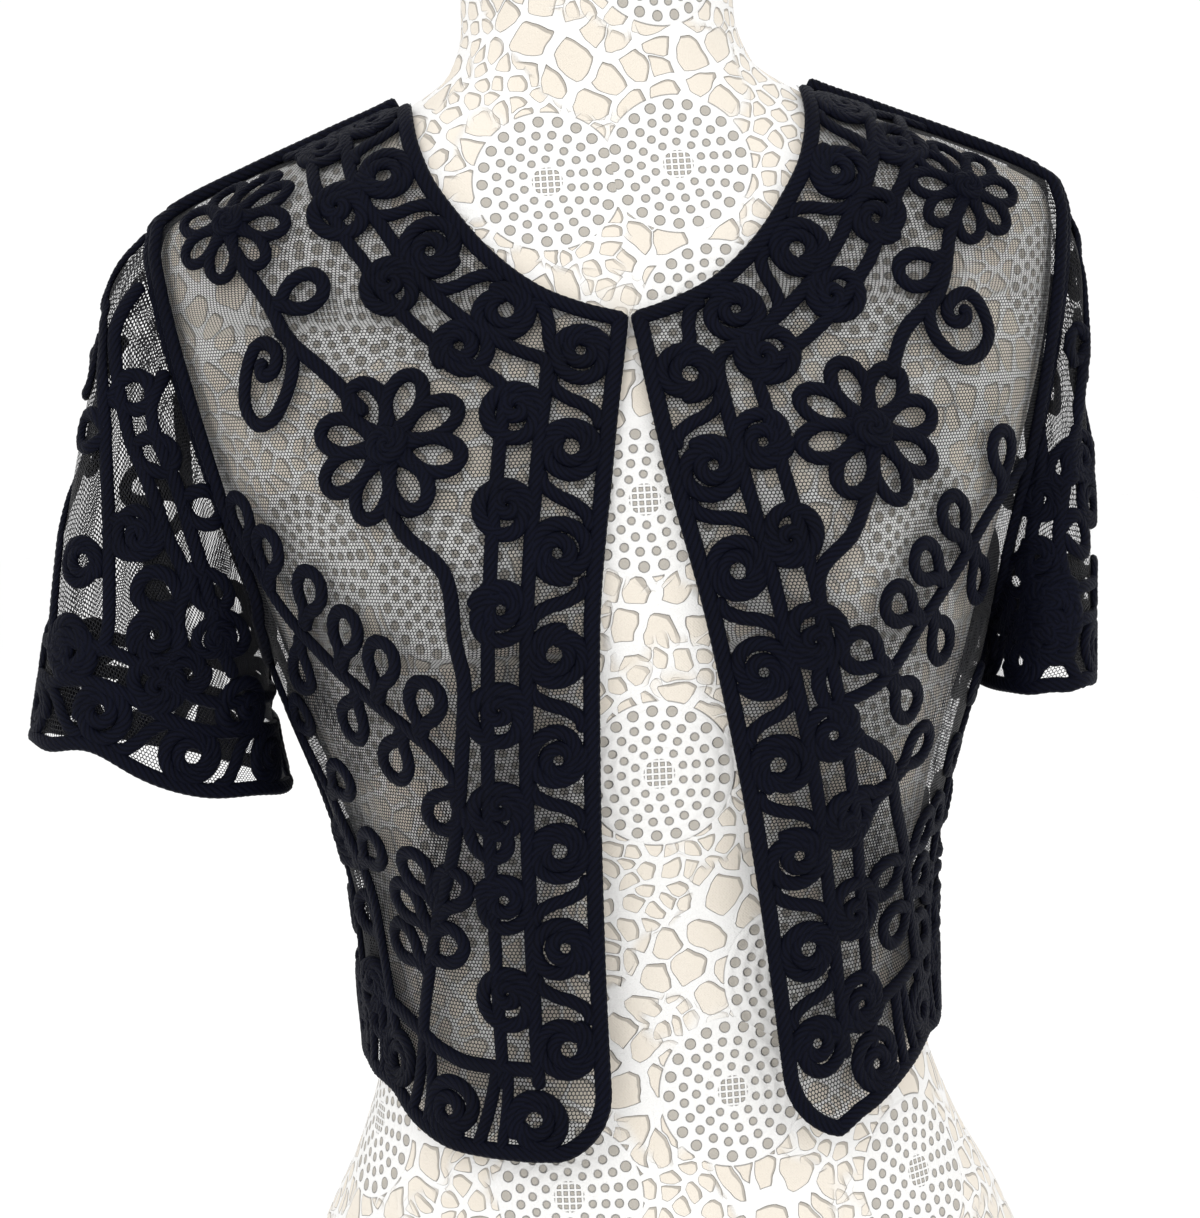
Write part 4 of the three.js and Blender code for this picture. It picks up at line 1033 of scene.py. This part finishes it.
class Board:
    """A new finish, with short words for wiring its nodes."""

    def __init__(self, name):
        self.material = bpy.data.materials.new(name)
        self.material.use_nodes = True
        self.tree = self.material.node_tree

    def fill(self, node, values):
        """Inputs of a node, by name or number, are set or wired."""
        for name, value in values.items():
            if isinstance(value, bpy.types.NodeSocket):
                self.tree.links.new(value, node.inputs[name])
            else:
                node.inputs[name].default_value = value

    def add(self, kind, values, out=0, **settings):
        """One output of a new node with these settings and inputs."""
        node = self.tree.nodes.new("ShaderNode" + kind)
        for name, value in settings.items():
            setattr(node, name, value)
        self.fill(node, values)
        return node.outputs[out]

    def finished(self, values):
        """The finish, once the inputs of its shader are filled."""
        self.fill(self.tree.nodes["Principled BSDF"], values)
        return self.material

    def maths(self, operation, *values, clamp=False):
        return self.add("Math", dict(enumerate(values)), operation=operation, use_clamp=clamp)

    def times(self, first, second):
        return self.maths("MULTIPLY", first, second)

    def plus(self, first, second):
        return self.maths("ADD", first, second)

    def minus(self, first, second, clamp=False):
        return self.maths("SUBTRACT", first, second, clamp=clamp)

    def vector(self, operation, *values, out=0):
        return self.add("VectorMath", dict(enumerate(values)), out, operation=operation)

    def noise(self, where, scale, detail=3.0, rough=0.5, out="Fac"):
        values = {"Vector": where, "Scale": scale, "Detail": detail, "Roughness": rough}
        return self.add("TexNoise", values, out)

    def cells(self, where, scale, feature="F1", spread=1.0, out="Distance"):
        values = {"Vector": where, "Scale": scale, "Randomness": spread}
        return self.add("TexVoronoi", values, out, voronoi_dimensions="2D", feature=feature)

    def ramp(self, value, low, high, to_low=0.0, to_high=1.0):
        values = dict(enumerate((value, low, high, to_low, to_high)))
        return self.add("MapRange", values, interpolation_type="SMOOTHSTEP")

    def tint(self, factor, first, second):
        return self.add("Mix", {0: factor, 6: first, 7: second}, 2, data_type="RGBA")

    def choose(self, factor, first, second):
        return self.add("Mix", {0: factor, 4: first, 5: second}, 1, data_type="VECTOR")

    def bump(self, height, strength, distance):
        return self.add("Bump", {"Strength": strength, "Distance": distance, "Height": height})

    def split(self, vector):
        return self.add("SeparateXYZ", {0: vector}).node.outputs

    def coordinates(self, kind):
        return self.add("TexCoord", {}, kind)


# The net's pattern repeats over a cell and its root of three
HEX_SIZE = (1.0, 1.7320508, 1.0)
HEX_HALF = (0.5, 0.8660254, 0.5)
FLATTEN = (1, 1, 0)


def net_finish():
    """Fine six-sided net of black thread; the share between the threads is open."""
    board = Board("black net")
    flat = board.coordinates("UV")
    cells = board.vector("MULTIPLY", flat, (1 / NET_CELL, 1 / NET_CELL, 0))
    cells = board.vector("ADD", cells, (2000, 3464, 0))
    moved = board.vector("SUBTRACT", cells, HEX_HALF)
    first, other = [
        board.vector("SUBTRACT", board.vector("MODULO", where, HEX_SIZE), HEX_HALF)
        for where in (cells, moved)
    ]
    first = board.vector("MULTIPLY", first, FLATTEN)
    other = board.vector("MULTIPLY", other, FLATTEN)
    nearer = board.maths("LESS_THAN", board.vector("LENGTH", first, out=1),
                         board.vector("LENGTH", other, out=1))
    local = board.vector("ABSOLUTE", board.choose(nearer, other, first))
    slant = board.vector("DOT_PRODUCT", local, (0.5, 0.8660254, 0), out=1)
    rim = board.maths("MAXIMUM", board.split(local)[0], slant)
    drift = board.noise(board.coordinates("Object"), 38.0, 2.0)
    gathered = board.add("Attribute", {}, "Fac", attribute_name="gather")
    streaks = board.noise(board.vector("MULTIPLY", flat, (0.24, 0.012, 0)), 1.0, 3.0, 0.6)
    from_middle = board.maths("ABSOLUTE", board.minus(streaks, 0.5))
    streak = board.ramp(from_middle, 0.0, 0.035, 1.0, 0.0)
    thread = board.maths("MULTIPLY_ADD", drift, 0.09, 0.075)
    thread = board.maths("MULTIPLY_ADD", gathered, 0.075, thread)
    thread = board.maths("MULTIPLY_ADD", board.times(streak, gathered), 0.3, thread)
    inner = board.minus(0.5, thread)
    cover = board.ramp(rim, board.minus(inner, 0.02), board.plus(inner, 0.02))
    fuzz = board.noise(flat, 2.2, 3.0)
    colour = board.tint(fuzz, (0.006, 0.0062, 0.008, 1), (0.014, 0.0145, 0.017, 1))
    return board.finished({
        "Alpha": cover, "Base Color": colour, "Roughness": board.ramp(fuzz, 0.2, 0.8, 0.55, 0.75),
        "Normal": board.bump(rim, 0.5, 0.0002), "Sheen Weight": 0.05, "Sheen Roughness": 0.5,
        "Specular IOR Level": 0.15,
    })


def cord_finish():
    """Blue-black cord of several strands twisted together, with painted shade in its grooves and painted
    highlights on the crowns of its strands.
    """
    board = Board("blue-black cord")
    flat = board.coordinates("UV")
    along, around, _ = board.split(flat)
    slope = board.maths("MULTIPLY_ADD", around, 0.36, board.maths("DIVIDE", along, TWIST))
    strand = board.maths("ABSOLUTE", board.maths("SINE", board.times(slope, math.pi)))
    finer = board.maths("ABSOLUTE", board.maths("SINE", board.times(slope, math.pi * 4)))
    fuzz = board.noise(flat, 1.9, 4.0, 0.65)
    wide = board.noise(board.coordinates("Object"), 45.0, 2.0)
    height = board.plus(strand, board.times(finer, 0.25))
    height = board.plus(height, board.times(fuzz, 0.35))
    # Base colour is painted darker in the grooves between the strands (painted shade) and lighter on their
    # crowns (painted highlight); both tones also vary at random
    deep = board.tint(wide, (0.0008, 0.0009, 0.0022, 1), (0.0011, 0.0014, 0.0045, 1))
    crown_highlight = board.tint(wide, (0.0022, 0.0027, 0.0075, 1), (0.0032, 0.0042, 0.013, 1))
    return board.finished({
        "Base Color": board.tint(strand, deep, crown_highlight), "Roughness": board.ramp(fuzz, 0.25, 0.75, 0.5, 0.8),
        "Normal": board.bump(height, 0.65, 0.0005), "Sheen Weight": 0.012, "Sheen Roughness": 0.4,
        "Sheen Tint": (0.6, 0.7, 1.0, 1), "Specular IOR Level": 0.07,
    })


# The lace: pitch and unevenness of the small and the large cells, pitch of the doilies,
# and radius of each of their rings, its count of holes, and how large these are
CELL_KINDS = ((8.2, 0.9), (14.0, 1.0))
DOILY_PITCH = 82
DOILY_RINGS = ((9.6, 10, 0.9), (14.6, 15, 1.2), (19.8, 20, 1.5), (25.4, 21, 3.2))
DOILY_REACH = (28.9, 29.7)


def lace_cells(board, where, patch):
    """Holes of the crochet ground: rounded cells of two sizes, in patches."""
    kinds = []
    for pitch, spread in CELL_KINDS:
        edge = board.cells(where, 1 / pitch, "DISTANCE_TO_EDGE", spread)
        middle = board.cells(where, 1 / pitch, "F1", spread)
        corner = board.maths("MAXIMUM", board.minus(middle, 0.3), 0.0)
        rounded = board.maths("MULTIPLY_ADD", corner, -0.5, edge)
        rim = 0.45 / pitch
        kinds.append(board.ramp(rounded, rim - 0.02, rim + 0.02))
    small = board.times(kinds[0], board.minus(1.0, patch))
    return board.plus(small, board.times(kinds[1], patch))


def lace_finish():
    """White crochet lace of round doilies and small rounded cells over cream cloth."""
    board = Board("white crochet over cream cloth")
    flat = board.vector("MULTIPLY", board.coordinates("UV"), FLATTEN)
    wander = board.noise(flat, 0.05, 2.0, out="Color")
    shifted = board.vector("SUBTRACT", wander, (0.5, 0.5, 0.5))
    bent = board.vector("ADD", flat, board.vector("MULTIPLY", shifted, (9, 9, 0)))

    # Doilies: rings of small holes round a square mesh
    middle = board.cells(flat, 1 / DOILY_PITCH, spread=0.7, out="Position")
    out = board.vector("SUBTRACT", flat, middle)
    radius = board.vector("LENGTH", board.vector("MULTIPLY", out, FLATTEN), out=1)
    ox, oy, _ = board.split(out)
    turn = board.maths("DIVIDE", board.maths("ARCTAN2", oy, ox), 2 * math.pi)
    mesh = board.vector("MODULO", board.vector("ADD", out, (104, 104, 0)), (2.6, 2.6, 1))
    mesh = board.vector("ABSOLUTE", board.vector("SUBTRACT", mesh, (1.3, 1.3, 0)))
    mesh_x, mesh_y, _ = board.split(mesh)
    holes = board.times(board.ramp(board.maths("MAXIMUM", mesh_x, mesh_y), 0.6, 0.95, 1.0, 0.0),
                        board.ramp(radius, 5.6, 6.2, 1.0, 0.0))
    for ring, count, size in DOILY_RINGS:
        outward = board.minus(radius, ring)
        sector = board.maths("FRACT", board.maths("MULTIPLY_ADD", turn, count, 40.0))
        sideways = board.times(board.minus(sector, 0.5), 2 * math.pi * ring / count)
        off = board.plus(board.times(outward, outward), board.times(sideways, sideways))
        holes = board.maths("MAXIMUM", holes, board.ramp(off, size, size + 2.4, 1.0, 0.0))
    ripple = board.maths("SINE", board.times(radius, 2 * math.pi / 5.2))
    ripple = board.times(ripple, 0.12)
    doily_height = board.plus(board.minus(1.0, holes), ripple)
    in_doily = board.ramp(radius, *DOILY_REACH, 1.0, 0.0)
    outside = board.minus(1.0, in_doily)

    # Ground of small and large rounded cells, each with a painted shadow line inside its upper right rim
    patch = board.ramp(board.noise(flat, 0.022, 1.0), 0.46, 0.54)
    # The cells are found again a little up and to the right; where a place lies in a hole but its offset
    # place does not, the painted shadow line falls
    shadow_offset = board.vector("ADD", bent, (1.0, 0.8, 0))
    ground_hole, hole_beyond = [lace_cells(board, where, patch) for where in (bent, shadow_offset)]
    painted_rim_shadow = board.minus(ground_hole, hole_beyond, clamp=True)
    painted_rim_shadow = board.times(painted_rim_shadow, outside)
    open_share = board.plus(board.times(holes, in_doily), board.times(ground_hole, outside))
    raised = board.times(board.minus(1.0, ground_hole), outside)
    raised = board.plus(board.times(doily_height, in_doily), raised)

    # Threads of the crochet and the weave of the cloth below
    stitch = board.noise(flat, 1.1, 3.0, 0.6)
    threads = board.cells(flat, 0.75, "SMOOTH_F1", 0.6)
    weave_x, weave_y, _ = board.split(board.vector("MULTIPLY", flat, (5.2, 5.2, 0)))
    weave = board.times(board.maths("SINE", weave_x), board.maths("SINE", weave_y))
    fine = board.plus(board.times(threads, 0.5), stitch)
    height = board.plus(raised, board.times(fine, 0.16))
    height = board.plus(height, board.times(weave, 0.02))
    mottled = board.noise(board.coordinates("Object"), 14.0, 4.0)
    cloth = board.tint(mottled, (0.75, 0.68, 0.58, 1), (0.88, 0.82, 0.73, 1))
    cloth = board.tint(in_doily, cloth, (0.48, 0.45, 0.40, 1))
    lace = board.tint(stitch, (0.84, 0.83, 0.81, 1), (0.96, 0.955, 0.94, 1))
    colour = board.tint(open_share, lace, cloth)
    # Painted shadow: a grey-brown line along the upper right rim of each ground cell
    colour = board.tint(board.times(painted_rim_shadow, 0.8), colour, (0.38, 0.35, 0.31, 1))
    return board.finished({
        "Base Color": colour, "Roughness": board.ramp(stitch, 0.2, 0.8, 0.7, 0.9),
        "Normal": board.bump(height, 1.0, 0.0014), "Sheen Weight": 0.15, "Specular IOR Level": 0.2,
    })


def floor_finish():
    """Plain pale floor, a little uneven."""
    board = Board("pale floor")
    patchy = board.noise(board.coordinates("Object"), 3.0, 4.0)
    return board.finished({
        "Base Color": board.tint(patchy, (0.95, 0.95, 0.95, 1), (0.98, 0.98, 0.98, 1)),
        "Roughness": board.ramp(patchy, 0.2, 0.8, 0.75, 0.85),
    })


# The camera: yaw, elevation and roll in degrees, distance and focal length in pixels
YAW, ELEVATION, ROLL = 4.0, 5.0, 3.1
DISTANCE, FOCAL = 1150, 2760
AIM = Vector((0, 0, 385))
PHOTO = (1200, 1218)
AIM_PIXEL = (629, 600)
SENSOR = 36


def place_camera():
    """Camera of the photo: a little from the viewer's left and above."""
    yaw, elevation, roll = (value * DEGREE for value in (YAW, ELEVATION, ROLL))
    away = Vector((-math.sin(yaw) * math.cos(elevation), -math.cos(yaw) * math.cos(elevation),
                   math.sin(elevation)))
    right = Vector((math.cos(yaw), -math.sin(yaw), 0))
    up = away.cross(right)
    along_x = right * math.cos(roll) - up * math.sin(roll)
    along_y = right * math.sin(roll) + up * math.cos(roll)
    bpy.ops.object.camera_add()
    camera = bpy.context.object
    camera.name = "photo_camera"
    place = (AIM + away * DISTANCE) * MM
    camera.matrix_world = Matrix((
        (along_x.x, along_y.x, away.x, place.x),
        (along_x.y, along_y.y, away.y, place.y),
        (along_x.z, along_y.z, away.z, place.z),
        (0, 0, 0, 1),
    ))
    lens = camera.data
    lens.sensor_fit = "VERTICAL"
    lens.sensor_height = SENSOR
    lens.lens = SENSOR * FOCAL / PHOTO[1]
    lens.shift_x = -(AIM_PIXEL[0] - PHOTO[0] / 2) / PHOTO[1]
    lens.shift_y = (AIM_PIXEL[1] - PHOTO[1] / 2) / PHOTO[1]
    bpy.context.scene.camera = camera


def soft_lamp(name, place, aim, size, power):
    """Round area lamp turned to what it lights."""
    bpy.ops.object.light_add(type="AREA", location=place)
    lamp = bpy.context.object
    lamp.name = name
    lamp.data.shape = "DISK"
    lamp.data.size = size
    lamp.data.energy = power
    lamp.rotation_euler = (Vector(aim) - Vector(place)).to_track_quat("-Z", "Y").to_euler()


def studio():
    """Pale floor, three soft lamps and a white world."""
    bpy.ops.mesh.primitive_plane_add(size=14, location=(0, 0, 0))
    floor = bpy.context.object
    floor.name = "studio_floor"
    floor.data.materials.append(floor_finish())
    soft_lamp("key_lamp", (-1.3, -2.2, 1.9), (0, 0, 0.4), 1.6, 15)
    soft_lamp("fill_lamp", (1.9, -1.8, 1.0), (0, 0, 0.4), 1.8, 5)
    soft_lamp("back_lamp", (0.4, 2.2, 1.8), (0, 0, 0.4), 1.6, 6)
    world = bpy.data.worlds.new("white studio")
    world.use_nodes = True
    world.node_tree.nodes["Background"].inputs["Color"].default_value = (1, 1, 1, 1)
    world.node_tree.nodes["Background"].inputs["Strength"].default_value = 1.04
    bpy.context.scene.world = world
    bpy.context.scene.view_settings.view_transform = "Standard"


def dressed(piece, finish):
    """Piece with its finish, riding on the root."""
    piece.data.materials.clear()
    piece.data.materials.append(finish)
    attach(piece, "root")
    return piece


place_camera()
studio()

black_net = net_finish()
black_cord = cord_finish()

cover = dressed(dress_form(), lace_finish())
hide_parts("dress_form")

for side_name in ("left", "right"):
    front = dressed(net_front(side_name), black_net)
    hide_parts("front_" + side_name)
back = dressed(net_back(), black_net)
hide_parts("back")
for side_name in ("left", "right"):
    sleeve = dressed(net_sleeve(side_name), black_net)
    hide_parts("sleeve_" + side_name)

for side_name in ("left", "right"):
    side = SIDE_OF[side_name]
    parts = front_border(side_name)
    parts += motif_parts(BODY, FRONT_WORK[side_name], side)
    hole = armhole_line(side)
    for off in (0, 4.8):
        parts.append(cord_on(BODY, beside(BODY, hole, -off * side), 0.98, 1.6))
    for off in (0.6, 5.0, 9.4):
        seam = smooth_line([(side * SIDE_SEAM, z) for z in (551, 560, 570, 580, 591)])
        parts.append(cord_on(BODY, beside(BODY, seam, off * side), 0.88, 1.9))
    work = dressed(joined("corded_work_front_" + side_name, parts), black_cord)
    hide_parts("cord_front_" + side_name)

    surface = SLEEVE_SURFACES[side_name]
    cuff = cuff_line(side_name)
    parts = [cord_on(surface, beside(surface, cuff, EDGE_DEPTH), 1.0)]
    parts += coil_border(surface, [cuff], 12)
    parts += motif_parts(surface, SLEEVE_WORK[side_name])
    work = dressed(joined("corded_work_sleeve_" + side_name, parts), black_cord)
    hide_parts("cord_sleeve_" + side_name)

neck = back_neck_line()
parts = [cord_on(BODY, beside(BODY, neck, EDGE_DEPTH), 1.05)] + coil_border(BODY, [neck], 12)
work = dressed(joined("corded_work_back_neck", parts), black_cord)
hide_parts("cord_back_neck")

hem = back_hem_line()
parts = [cord_on(BODY, beside(BODY, hem, EDGE_DEPTH), 1.05)] + hem_band(BODY, hem, 14)
for work_table in (BACK_MIDDLE_WORK, BACK_HALF_WORK, mirrored(BACK_HALF_WORK)):
    parts += motif_parts(BODY, work_table)
work = dressed(joined("corded_work_back", parts), black_cord)
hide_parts("cord_back")

clear_selection()
for pattern in PATTERNS.values():
    pattern.select_set(True)
bpy.ops.object.delete()
